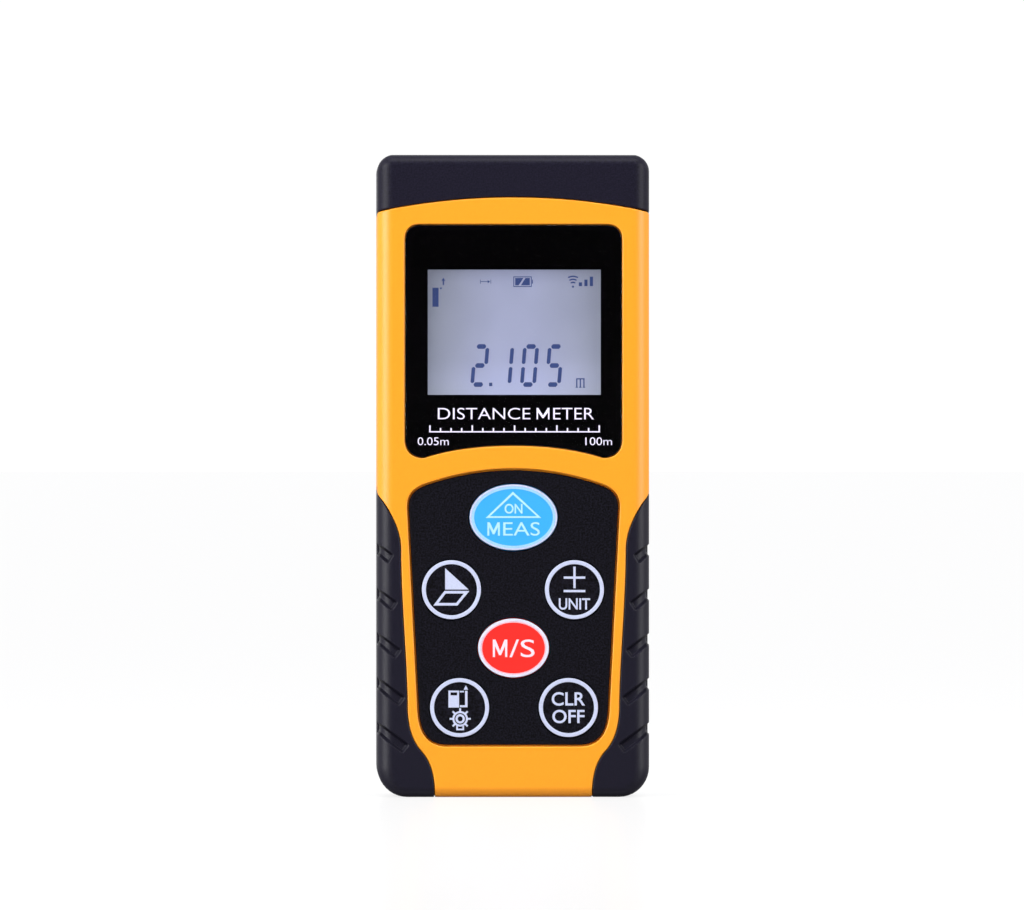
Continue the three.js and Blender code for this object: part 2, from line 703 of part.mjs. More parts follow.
function tactSwitch(key) {
  const half = SWITCH_HALF_WIDTH;
  const base = SWITCH_TOP_Y + 0.3;
  const back = BOARD_FRONT_Y - ON_BOARD;
  return joined(
    block(key.x - half, key.x + half, base, back, key.z - half, key.z + half),
    rodY(key.x, key.z, 1.2, SWITCH_TOP_Y, base + 0.1, 12),
  );
}

// ---------------------------------------------------------------- board and display

function mainBoard() {
  const wide = BOARD_HALF_WIDTH;
  const narrow = BOARD_NARROW_HALF_WIDTH;
  const outline = polygon([
    [-wide, BOARD_LOW_Z],
    [wide, BOARD_LOW_Z],
    [wide, BOARD_STEP_Z],
    [narrow, BOARD_STEP_Z + 2],
    [narrow, BOARD_TOP_Z],
    [-narrow, BOARD_TOP_Z],
    [-narrow, BOARD_STEP_Z + 2],
    [-wide, BOARD_STEP_Z],
  ]);
  return cut(
    prismY(outline, BOARD_FRONT_Y, BOARD_BACK_Y),
    ...BOARD_SCREWS.map(({ x, z }) => rodY(x, z, 1, -12, 0, 12)),
  );
}

function lcdGlass() {
  return block(-LCD_HALF_WIDTH, LCD_HALF_WIDTH, LCD_FRONT_Y, LCD_BACK_Y, LCD_LOW_Z, LCD_TOP_Z);
}

// A rectangular bar round the display, reaching gap beyond it, from y0 to y1.
function lcdSurround(gap, y0, y1) {
  const half = LCD_HALF_WIDTH + gap;
  return block(-half, half, y0, y1, LCD_LOW_Z - gap, LCD_TOP_Z + gap);
}

function lcdFrame() {
  const outer = lcdSurround(LCD_GAP + LCD_FRAME_WALL, LCD_FRONT_Y, BOARD_FRONT_Y - ON_BOARD);
  return outer.subtract(lcdSurround(LCD_GAP, LCD_FRONT_Y - 1, BOARD_FRONT_Y));
}

// A block between the display and the board.
function behindDisplay(halfWidth, low, top) {
  return block(-halfWidth, halfWidth, LCD_BACK_Y + LCD_GAP, BOARD_FRONT_Y - LCD_GAP, low, top);
}

function lcdBacklight() {
  return behindDisplay(LCD_HALF_WIDTH, LCD_CONNECTOR_TOP_Z + 0.3, LCD_TOP_Z);
}

function lcdConnector() {
  return behindDisplay(LCD_HALF_WIDTH - 2.2, LCD_LOW_Z + 0.2, LCD_CONNECTOR_TOP_Z);
}

function controllerChip() {
  const y = BOARD_BACK_Y + ON_BOARD;
  return prismY(roundedOutline(-5, 5, 50, 60, 0.4), y, y + 1.4, 1);
}

function buzzer() {
  const x = 13;
  const z = 45;
  const y = BOARD_BACK_Y + ON_BOARD;
  return rodY(x, z, 4.5, y, y + 3, 24).subtract(rodY(x, z, 0.9, y + 2, y + 5, 12));
}

// The flat cable from the sensor board down to the main board.
function boardRibbon() {
  const thickness = 0.25;
  const halfWidth = 4;
  const highY = -3.2;
  const lowY = BOARD_BACK_Y + ON_BOARD + 0.05;
  const topZ = SENSOR_BOARD_TOP_Z - 1.6;
  const endZ = 65;
  const bend = { high: 69, low: 67.2 };
  const strip = polygon([
    [highY, topZ],
    [highY, bend.high],
    [lowY, bend.low],
    [lowY, endZ],
    [lowY + thickness, endZ],
    [lowY + thickness, bend.low - 0.2],
    [highY + thickness, bend.high - 0.2],
    [highY + thickness, topZ],
  ]);
  return prismX(strip, -halfWidth, halfWidth);
}

// ---------------------------------------------------------------- optics

function opticsChassis() {
  const front = CHASSIS_FRONT_Y;
  const back = OPTICS_Y + CHASSIS_HALF_DEPTH;
  const ear = CHASSIS_EAR;
  const under = CHASSIS_LOW_Z - 1;
  const over = CHASSIS_TOP_Z + 1;
  const coneLow = SENSOR_BOARD_TOP_Z + 5.5; // where the light cone meets the photodiode's seat
  const laserSeat = LASER_BARREL_LOW_Z - 0.4;
  const boreRadius = LASER_BARREL_RADIUS + 0.2;
  const blocks = joined(
    block(-CHASSIS_HALF_WIDTH, CHASSIS_HALF_WIDTH, front, back, CHASSIS_LOW_Z, CHASSIS_STEP_Z + 1),
    block(
      -CHASSIS_HALF_WIDTH,
      CHASSIS_HALF_WIDTH,
      OPTICS_Y - CHASSIS_HALF_DEPTH,
      back,
      CHASSIS_STEP_Z,
      CHASSIS_TOP_Z,
    ),
    block(
      -ear.halfWidth,
      ear.halfWidth,
      front,
      front + ear.thickness,
      OPTICS_SCREW_Z - ear.halfHeight,
      OPTICS_SCREW_Z + ear.halfHeight,
    ),
  );
  return cut(
    blocks,
    rodZ(RECEIVER_X, OPTICS_Y, PHOTODIODE_RADIUS + 0.25, under, coneLow + 0.1),
    rodZ(RECEIVER_X, OPTICS_Y, PHOTODIODE_RADIUS, coneLow, LENS_LOW_Z, LENS_RADIUS - 0.4),
    rodZ(RECEIVER_X, OPTICS_Y, LENS_RADIUS + FIT, LENS_LOW_Z - 0.2, over),
    rodZ(LASER_X, OPTICS_Y, 2, under, laserSeat + 0.2, 2, 16),
    rodZ(LASER_X, OPTICS_Y, boreRadius, laserSeat, over, boreRadius, 20),
    ...opticsScrewPlaces().map(({ x, z }) => rodY(x, z, 1.1, -6, 0, 12)),
  );
}

// A plano-convex lens, flat side down.
function receiverLens() {
  const domeSteps = 4;
  const domeRadius = (LENS_RADIUS ** 2 + LENS_DOME ** 2) / (2 * LENS_DOME);
  const edgeTop = LENS_LOW_Z + LENS_EDGE;
  const centreZ = edgeTop + LENS_DOME - domeRadius;
  const profile = [new THREE.Vector2(0, LENS_LOW_Z), new THREE.Vector2(LENS_RADIUS, LENS_LOW_Z)];
  for (let i = 0; i < domeSteps; i += 1) {
    const radius = LENS_RADIUS * (1 - i / domeSteps);
    profile.push(new THREE.Vector2(radius, centreZ + Math.sqrt(domeRadius ** 2 - radius ** 2)));
  }
  profile.push(new THREE.Vector2(0, edgeTop + LENS_DOME));
  const geometry = new THREE.LatheGeometry(profile, 28);
  geometry.rotateX(Math.PI / 2);
  geometry.translate(RECEIVER_X, OPTICS_Y, 0);
  return solid(geometry);
}

function lensRing() {
  const ring = rodZ(RECEIVER_X, OPTICS_Y, 7.2, CHASSIS_TOP_Z + 0.2, CHASSIS_TOP_Z + 1.4);
  const opening = LENS_RADIUS - 0.5;
  return ring.subtract(rodZ(RECEIVER_X, OPTICS_Y, opening, CHASSIS_TOP_Z, CHASSIS_TOP_Z + 2));
}

function laserBarrel() {
  const low = LASER_BARREL_LOW_Z;
  const top = CHASSIS_TOP_Z - 0.6;
  return rodZ(LASER_X, OPTICS_Y, LASER_BARREL_RADIUS, low, top).subtract(
    rodZ(LASER_X, OPTICS_Y, LASER_BORE_RADIUS, low - 1, top + 1),
  );
}

function laserLens() {
  const radius = LASER_BORE_RADIUS - 0.2;
  const low = CHASSIS_TOP_Z - 4;
  return rodZ(LASER_X, OPTICS_Y, radius, low, low + 1.6, radius, 20);
}

// The laser diode: a flange in the barrel, the can above it, and its leads as one stem below.
function laserDiode() {
  const radius = LASER_BORE_RADIUS - 0.2;
  const low = LASER_BARREL_LOW_Z + 0.3;
  const top = low + 1.2;
  return joined(
    rodZ(LASER_X, OPTICS_Y, radius, low, top, radius, 20),
    rodZ(LASER_X, OPTICS_Y, 1.9, top - 0.2, top + 2.3, 1.9, 16),
    rodZ(LASER_X, OPTICS_Y, 0.9, SENSOR_BOARD_TOP_Z + 6, low + 0.2, 0.9, 10),
  );
}

function photodiode() {
  const low = SENSOR_BOARD_TOP_Z + 0.2;
  return joined(
    rodZ(RECEIVER_X, OPTICS_Y, PHOTODIODE_RADIUS, low, low + 1, PHOTODIODE_RADIUS, 20),
    rodZ(RECEIVER_X, OPTICS_Y, 2, low + 0.8, low + 4, 2, 18),
  );
}

function sensorBoard() {
  const front = CHASSIS_FRONT_Y + 0.4;
  const back = OPTICS_Y + CHASSIS_HALF_DEPTH - 0.2;
  const halfWidth = CHASSIS_HALF_WIDTH - 0.4;
  return block(-halfWidth, halfWidth, front, back, SENSOR_BOARD_TOP_Z - 1.4, SENSOR_BOARD_TOP_Z);
}

// ---------------------------------------------------------------- batteries and their door

// A cell standing on its flat end at z, or on its nub when upside down.
function cell(x, z, upsideDown) {
  const bodyLow = upsideDown ? z + CELL_NUB_LENGTH : z;
  const bodyTop = bodyLow + CELL_LENGTH - CELL_NUB_LENGTH;
  const nubLow = upsideDown ? z : bodyTop - 0.2;
  const nubTop = upsideDown ? bodyLow + 0.2 : z + CELL_LENGTH;
  return joined(
    rodZ(x, CELL_Y, CELL_RADIUS, bodyLow, bodyTop, CELL_RADIUS, 28),
    rodZ(x, CELL_Y, CELL_NUB_RADIUS, nubLow, nubTop, CELL_NUB_RADIUS, 16),
  );
}

// The line that a battery spring's wire follows: a cone of turns about a vertical axis.
class ConeHelix extends THREE.Curve {
  constructor(x, z0, z1, lowRadius, highRadius, turns) {
    super();
    Object.assign(this, { x, z0, z1, lowRadius, highRadius, turns });
  }

  getPoint(t, target = new THREE.Vector3()) {
    const angle = 2 * Math.PI * this.turns * t;
    const radius = THREE.MathUtils.lerp(this.lowRadius, this.highRadius, t);
    return target.set(
      this.x + radius * Math.cos(angle),
      CELL_Y + radius * Math.sin(angle),
      THREE.MathUtils.lerp(this.z0, this.z1, t),
    );
  }
}

function batterySpring(x, z0, z1, lowRadius, highRadius) {
  const wireRadius = 0.35;
  const turns = 3.5;
  const path = new ConeHelix(x, z0 + 0.45, z1 - 0.45, lowRadius, highRadius, turns);
  const wire = new THREE.Shape();
  wire.absarc(0, 0, wireRadius, 0, 2 * Math.PI);
  return solid(
    new THREE.ExtrudeGeometry(wire, {
      steps: 36,
      curveSegments: 3,
      extrudePath: path,
      bevelEnabled: false,
    }),
  );
}

function contactPlate(x0, x1, z) {
  return block(x0, x1, 2, 9.4, z, z + 0.4);
}

// The door: a plate with a springy tongue at its upper end and two hooks at its lower one.
function batteryDoor() {
  const outline = roundedOutline(
    -DOOR_HALF_WIDTH,
    DOOR_HALF_WIDTH,
    DOOR_LOW_Z,
    DOOR_TOP_Z,
    DOOR_CORNER_RADIUS,
  );
  const hooks = [-1, 1].map((side) => {
    const x = side * HOOK_X;
    const rootY = DOOR_INNER_Y + 0.2;
    const armLow = DOOR_LOW_Z + 0.1;
    const armTop = DOOR_LOW_Z + HOOK_ARM;
    const profile = polygon([
      [rootY, armLow],
      [rootY, armTop],
      [HOOK_INNER_Y, armTop],
      [HOOK_INNER_Y, HOOK_LOW_Z],
      [HOOK_INNER_Y + HOOK_THICKNESS, HOOK_LOW_Z],
      [HOOK_INNER_Y + HOOK_THICKNESS, armLow],
    ]);
    return prismX(profile, x - HOOK_HALF_WIDTH, x + HOOK_HALF_WIDTH);
  });
  const slits = [-1, 1].map((side) => {
    const x = side * TONGUE_SLIT_X;
    const half = TONGUE_SLIT_HALF_WIDTH;
    return block(x - half, x + half, 0, HALF_DEPTH + 1, DOOR_TOP_Z - TONGUE_LENGTH, DOOR_TOP_Z + 1);
  });
  const ridges = [];
  for (let i = 0; i < THUMB_RIDGE_COUNT; i += 1) {
    const z = DOOR_TOP_Z - 2 - THUMB_RIDGE_PITCH * i;
    const across = THUMB_RIDGE_HALF_WIDTH;
    const half = THUMB_RIDGE_HALF_HEIGHT;
    ridges.push(block(-across, across, HALF_DEPTH - 0.3, HALF_DEPTH + 1, z - half, z + half));
  }
  const rib = TONGUE_RIB;
  return cut(
    joined(
      prismY(outline, DOOR_INNER_Y, HALF_DEPTH),
      ...hooks,
      block(-rib.halfWidth, rib.halfWidth, rib.y, DOOR_INNER_Y + 0.2, rib.low, rib.top),
    ),
    ...slits,
    ...ridges,
  );
}

function doorPad() {
  return block(-6, 6, 11.2, DOOR_INNER_Y - 0.15, 24, 50);
}

// ---------------------------------------------------------------- fasteners

// A self-tapping screw along Y, its head at the back, with a six-sided socket in the head.
function screw({ x, z }, { headRadius, shankRadius, tipY, seatY, headHeight }) {
  const headTop = seatY + headHeight;
  return joined(
    rodY(x, z, shankRadius, tipY, seatY + 0.2, 10),
    rodY(x, z, headRadius, seatY, headTop, 16),
  ).subtract(rodY(x, z, headRadius * 0.4, headTop - 0.5, headTop + 1, 6));
}

const CASE_SCREW = {
  headRadius: 2,
  shankRadius: 0.85,
  tipY: -8.4,
  seatY: CASE_SCREW_SEAT_Y + SEATING,
  headHeight: 1.6,
};
const BOARD_SCREW = {
  headRadius: 1.7,
  shankRadius: 0.75,
  tipY: -10,
  seatY: BOARD_BACK_Y + 0.1,
  headHeight: 1.1,
};
const OPTICS_SCREW = {
  headRadius: 1.6,
  shankRadius: 0.75,
  tipY: -9.8,
  seatY: CHASSIS_FRONT_Y + CHASSIS_EAR.thickness + 0.1,
  headHeight: 1.1,
};

// ---------------------------------------------------------------- assembly

const meter = new THREE.Group();

function place(name, made, material) {
  const { vertProperties, triVerts } = made.getMesh();
  const geometry = new THREE.BufferGeometry();
  geometry.setAttribute("position", new THREE.BufferAttribute(vertProperties, 3));
  geometry.setIndex(new THREE.BufferAttribute(triVerts, 1));
  geometry.computeVertexNormals();
  const mesh = new THREE.Mesh(geometry, material);
  mesh.name = name;
  meter.add(mesh);
}

place("front_shell", frontShell(), looks.orange);
place("rear_shell", rearShell(), looks.orange);
place("nose_cap", noseCap(), looks.cap);
place("grip_front_left", grip(-1, FRONT_HALF), looks.rubber);
place("grip_front_right", grip(1, FRONT_HALF), looks.rubber);
place("grip_rear_left", grip(-1, REAR_HALF), looks.rubber);
place("grip_rear_right", grip(1, REAR_HALF), looks.rubber);
place("display_window", displayWindow(), looks.window);
place("rear_label", rearLabel(), looks.label);
place("optics_window", opticsWindow(), looks.window);

place("keypad_panel", keypadPanel(), looks.panel);
place("key_mat", keyMat(), looks.silicone);
for (const key of KEYS) {
  place(key.name, keySolid(key), looks[key.look]);
  place(key.name.replace("key", "switch"), tactSwitch(key), looks.steel);
}

place("main_board", mainBoard(), looks.board);
place("controller_chip", controllerChip(), looks.chip);
place("buzzer", buzzer(), looks.chip);
place("board_ribbon", boardRibbon(), looks.ribbon);
place("lcd_glass", lcdGlass(), looks.display);
place("lcd_frame", lcdFrame(), looks.frame);
place("lcd_backlight", lcdBacklight(), looks.frame);
place("lcd_connector", lcdConnector(), looks.silicone);

place("optics_chassis", opticsChassis(), looks.casting);
place("receiver_lens", receiverLens(), looks.glass);
place("lens_ring", lensRing(), looks.cap);
place("laser_barrel", laserBarrel(), looks.brass);
place("laser_lens", laserLens(), looks.glass);
place("laser_diode", laserDiode(), looks.steel);
place("photodiode", photodiode(), looks.steel);
place("sensor_board", sensorBoard(), looks.board);

place("battery_left", cell(-CELL_X, LEFT_CELL_Z, false), looks.cell);
place("battery_right", cell(CELL_X, RIGHT_CELL_Z, true), looks.cell);
place("battery_spring_left", batterySpring(-CELL_X, 13, LEFT_CELL_Z - 0.1, 3.2, 2.2), looks.steel);
place(
  "battery_spring_right",
  batterySpring(CELL_X, RIGHT_CELL_Z + CELL_LENGTH + 0.1, CONTACT_TOP_Z, 2.2, 3.2),
  looks.steel,
);
place("bridge_contact", contactPlate(-CONTACT_OUTER_X, CONTACT_OUTER_X, CONTACT_LOW_Z), looks.steel);
place("top_contact_left", contactPlate(-CONTACT_OUTER_X, -CONTACT_INNER_X, CONTACT_TOP_Z), looks.steel);
place("top_contact_right", contactPlate(CONTACT_INNER_X, CONTACT_OUTER_X, CONTACT_TOP_Z), looks.steel);
place("battery_door", batteryDoor(), looks.cap);
place("door_pad", doorPad(), looks.foam);

caseScrewPlaces().forEach((at, i) => {
  place(`case_screw_${i + 1}`, screw(at, CASE_SCREW), looks.steel);
});
BOARD_SCREWS.forEach((at, i) => {
  place(`board_screw_${i + 1}`, screw(at, BOARD_SCREW), looks.steel);
});
opticsScrewPlaces().forEach((at, i) => {
  place(`optics_screw_${i + 1}`, screw(at, OPTICS_SCREW), looks.steel);
});

export default meter;
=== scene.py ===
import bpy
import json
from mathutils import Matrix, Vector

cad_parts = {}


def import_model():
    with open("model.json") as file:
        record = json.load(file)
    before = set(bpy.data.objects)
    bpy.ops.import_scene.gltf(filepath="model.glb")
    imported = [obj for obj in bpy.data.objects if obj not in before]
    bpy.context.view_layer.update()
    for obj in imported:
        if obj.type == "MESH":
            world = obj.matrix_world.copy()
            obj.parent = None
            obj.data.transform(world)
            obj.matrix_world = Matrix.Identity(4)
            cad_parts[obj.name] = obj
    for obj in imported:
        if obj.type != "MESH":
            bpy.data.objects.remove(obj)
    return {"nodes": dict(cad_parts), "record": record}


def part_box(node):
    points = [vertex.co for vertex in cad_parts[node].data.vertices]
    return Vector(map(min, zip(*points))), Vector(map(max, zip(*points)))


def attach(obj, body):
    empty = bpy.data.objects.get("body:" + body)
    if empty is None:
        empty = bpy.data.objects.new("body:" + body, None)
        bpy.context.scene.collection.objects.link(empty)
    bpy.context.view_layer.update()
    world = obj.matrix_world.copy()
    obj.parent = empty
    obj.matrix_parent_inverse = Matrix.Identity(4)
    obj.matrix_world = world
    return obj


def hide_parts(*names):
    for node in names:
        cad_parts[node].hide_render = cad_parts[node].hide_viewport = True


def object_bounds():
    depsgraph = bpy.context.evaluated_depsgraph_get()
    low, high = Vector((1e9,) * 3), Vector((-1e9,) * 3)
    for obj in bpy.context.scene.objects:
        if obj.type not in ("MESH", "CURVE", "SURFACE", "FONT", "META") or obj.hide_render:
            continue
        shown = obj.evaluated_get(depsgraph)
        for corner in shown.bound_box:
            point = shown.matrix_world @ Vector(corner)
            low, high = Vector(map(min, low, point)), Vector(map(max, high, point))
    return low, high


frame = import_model()
CAD_BOUNDS = [list(corner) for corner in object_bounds()]

import json
import math

import bpy
import numpy as np
from mathutils import Vector, kdtree
from mathutils.geometry import delaunay_2d_cdt

# A handheld laser distance meter. Lengths are in millimetres until a mesh is made; +Z is up, the display
# faces -Y, and the origin is the centre of the lower end.

MM = 0.001
X, Y, Z = (np.array(axis, float) for axis in ((1, 0, 0), (0, 1, 0), (0, 0, 1)))


def box(node):
    """Lowest and highest corner of a CAD node, in millimetres."""
    low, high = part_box(node)
    return np.array(low) / MM, np.array(high) / MM


def middle(node):
    """The centre of a CAD node's box."""
    low, high = box(node)
    return (low + high) / 2


LOW, HIGH = (np.array(corner) / MM for corner in CAD_BOUNDS)
HALF_WIDTH = HIGH[0]
HALF_DEPTH = HIGH[1]
HEIGHT = HIGH[2]

# The shape of the case, as in the CAD model.
EDGE_RADIUS = 3.0
END_EDGE_RADIUS = 2.0
NOSE_CORNER = 3.0
BASE_CORNER = 5.5
SEAM = 0.2
SHELL = 1.9
UNDER_GRIP = 1.4
GRIP_THICKNESS = 1.2
SIDE_FACE_X = 24.4
CAP_CROWN_Z = 110.2
CAP_ARCH_RADIUS = 120.0
CAP_SIDE_Z = 106.6
CAP_SIDE_RADIUS = 70.0
GRIP_FOOT = (14.5, 1.5)
GRIP_KNEE = (17.0, 8.55)
GRIP_CALF = (19.5, 16.5)
GRIP_SHOULDER = (20.7, 45.5)
GRIP_TIP = (24.9, 55.4)
GRIP_SIDE_TOP_Z = 56.8
GRIP_SIDE_RADIUS = 60.0
VIEW_HALF_WIDTH = 16.0
VIEW_LOW_Z = 73.8
VIEW_TOP_Z = 97.1
WINDOW_LOW_Z = 62.4
WINDOW_ARCH_Z = 64.65
WINDOW_CORNER = 3.0
WINDOW_HEEL = 3.5
PANEL_CROWN_Z = 60.2
PANEL_LOW_Z = 9.45
PANEL_SHOULDER = (15.6, 57.6)
PANEL_HIGH = (19.4, 53.0)
PANEL_NARROW = (17.5, 15.6)
PANEL_BASE_HALF_WIDTH = 12.2


# ---------------------------------------------------------------- outlines, as lists of points


def line(*points):
    return [np.array(p, float) for p in points]


def curve(start, *controls, steps=14):
    """A quadratic or cubic Bezier curve from start, without its first point."""
    points = [np.array(p, float) for p in (start, *controls)]
    result = []
    for t in np.linspace(0, 1, steps + 1)[1:]:
        level = points
        while len(level) > 1:
            level = [a + (b - a) * t for a, b in zip(level, level[1:])]
        result.append(level[0])
    return result


def arc(centre, radius, start, end, steps=10):
    """Points of an arc; angles in degrees, and radius may be a pair for an ellipse."""
    rx, ry = radius if isinstance(radius, tuple) else (radius, radius)
    angles = np.radians(np.linspace(start, end, steps + 1))
    return [np.array((centre[0] + rx * math.cos(a), centre[1] + ry * math.sin(a))) for a in angles]


def ellipse(centre, radius, steps=96):
    return arc(centre, radius, 0, 360, steps)[:-1]


def rounded_box(u0, u1, v0, v1, radius, steps=8):
    outline = []
    corners = ((u1 - radius, v0 + radius), (u1 - radius, v1 - radius), (u0 + radius, v1 - radius),
               (u0 + radius, v0 + radius))
    for centre, start in zip(corners, (-90, 0, 90, 180)):
        outline += arc(centre, radius, start, start + 90, steps)
    return outline


def mirrored(points):
    """The same points with u negated, in the opposite order."""
    return [np.array((-p[0], p[1])) for p in reversed(points)]


def moved(points, du, dv):
    return [p + np.array((du, dv)) for p in points]


def dense(loop, step=0.7):
    """The closed loop with long stretches split up."""
    result = []
    for a, b in zip(loop, loop[1:] + loop[:1]):
        length = np.linalg.norm(b - a)
        if length < 1e-6:
            continue
        count = max(1, math.ceil(length / step))
        result += [a + (b - a) * i / count for i in range(count)]
    return result


def area(loop):
    p = np.array(loop)
    q = np.roll(p, -1, axis=0)
    return 0.5 * float(np.sum(p[:, 0] * q[:, 1] - q[:, 0] * p[:, 1]))


def turning(loop, sign):
    """The loop as an array, counter-clockwise for sign 1 and clockwise for -1."""
    array = np.array(loop, float)
    return array if area(loop) * sign > 0 else array[::-1]


def leftward(loop):
    """At each point of a closed loop, the mitred step of length one to its left."""
    ahead = np.roll(loop, -1, axis=0) - loop
    ahead /= np.maximum(np.linalg.norm(ahead, axis=1, keepdims=True), 1e-9)
    behind = np.roll(ahead, 1, axis=0)
    left_a = np.stack((-ahead[:, 1], ahead[:, 0]), axis=1)
    left_b = np.stack((-behind[:, 1], behind[:, 0]), axis=1)
    total = left_a + left_b
    scale = np.maximum(1 + np.sum(left_a * left_b, axis=1, keepdims=True), 0.35)
    return total / scale


def grown(loop, amount):
    """A counter-clockwise copy of the loop, moved outwards by amount."""
    array = turning(loop, 1)
    return list(array - leftward(array) * amount)


def band(path, half_width, steps=5, corner=None):
    """The outline of a stroke of even width along an open path. Its ends are half round, or square with
    rounded corners of radius corner."""
    points = np.array(path, float)
    ahead = np.gradient(points, axis=0)
    ahead /= np.linalg.norm(ahead, axis=1, keepdims=True)
    left = np.stack((-ahead[:, 1], ahead[:, 0]), axis=1)
    radius = corner or half_width
    square = half_width - radius
    turns = [math.radians(t) for t in np.linspace(-90, 90, 2 * steps + 1) if t or not square]

    def end(point, forward, aside):
        return [point + forward * square + np.sign(t) * (aside * square)
                + radius * (math.cos(t) * forward + math.sin(t) * aside) for t in turns]

    outline = list((points - left * half_width)[1:-1])
    outline += end(points[-1], ahead[-1], left[-1])
    outline += list((points + left * half_width)[1:-1][::-1])
    outline += end(points[0], -ahead[0], -left[0])
    return outline


def inside(points, loop):
    """Which of the points lie inside the closed loop."""
    a = np.array(loop)
    b = np.roll(a, -1, axis=0)
    result = np.zeros(len(points), bool)
    rise = b[:, 1] - a[:, 1]
    rise[rise == 0] = 1e-12
    for start in range(0, len(points), 2000):
        p = points[start:start + 2000]
        spans = (a[None, :, 1] > p[:, None, 1]) != (b[None, :, 1] > p[:, None, 1])
        crossing = a[None, :, 0] + (p[:, None, 1] - a[None, :, 1]) * ((b[:, 0] - a[:, 0]) / rise)[None, :]
        result[start:start + 2000] = np.sum(spans & (p[:, None, 0] < crossing), axis=1) % 2 == 1
    return result


def between(points, loops):
    """Which of the points lie inside the first loop and outside the others."""
    keep = inside(points, loops[0])
    for loop in loops[1:]:
        keep &= ~inside(points, loop)
    return keep


def wound(points, triangles, sliver=0.0):
    """The triangles, all turning left, without those whose doubled area isn't over sliver."""
    a, b, c = (points[triangles[:, i]] for i in range(3))
    turn = (b[:, 0] - a[:, 0]) * (c[:, 1] - a[:, 1]) - (c[:, 0] - a[:, 0]) * (b[:, 1] - a[:, 1])
    triangles[turn < 0] = triangles[turn < 0][:, ::-1]
    return triangles[np.abs(turn) > sliver]


# ---------------------------------------------------------------- surfaces that a sheet is laid on

FILL_STEP = 1.6
WALL_STEP = 2.5


class Flat:
    """A plane through origin; u and v are measured along its two directions."""

    def __init__(self, origin, along_u, along_v, face):
        self.origin, self.along_u, self.along_v, self.face = (
            np.array(a, float) for a in (origin, along_u, along_v, face))
        self.flip = float(np.dot(np.cross(self.along_u, self.along_v), self.face)) < 0

    def fold(self, uv, depth):
        uv = np.asarray(uv, float)
        points = self.origin + uv[:, :1] * self.along_u + uv[:, 1:] * self.along_v - depth * self.face
        return points, np.tile(self.face, (len(uv), 1))

    def fill(self):
        return np.zeros((0, 2))


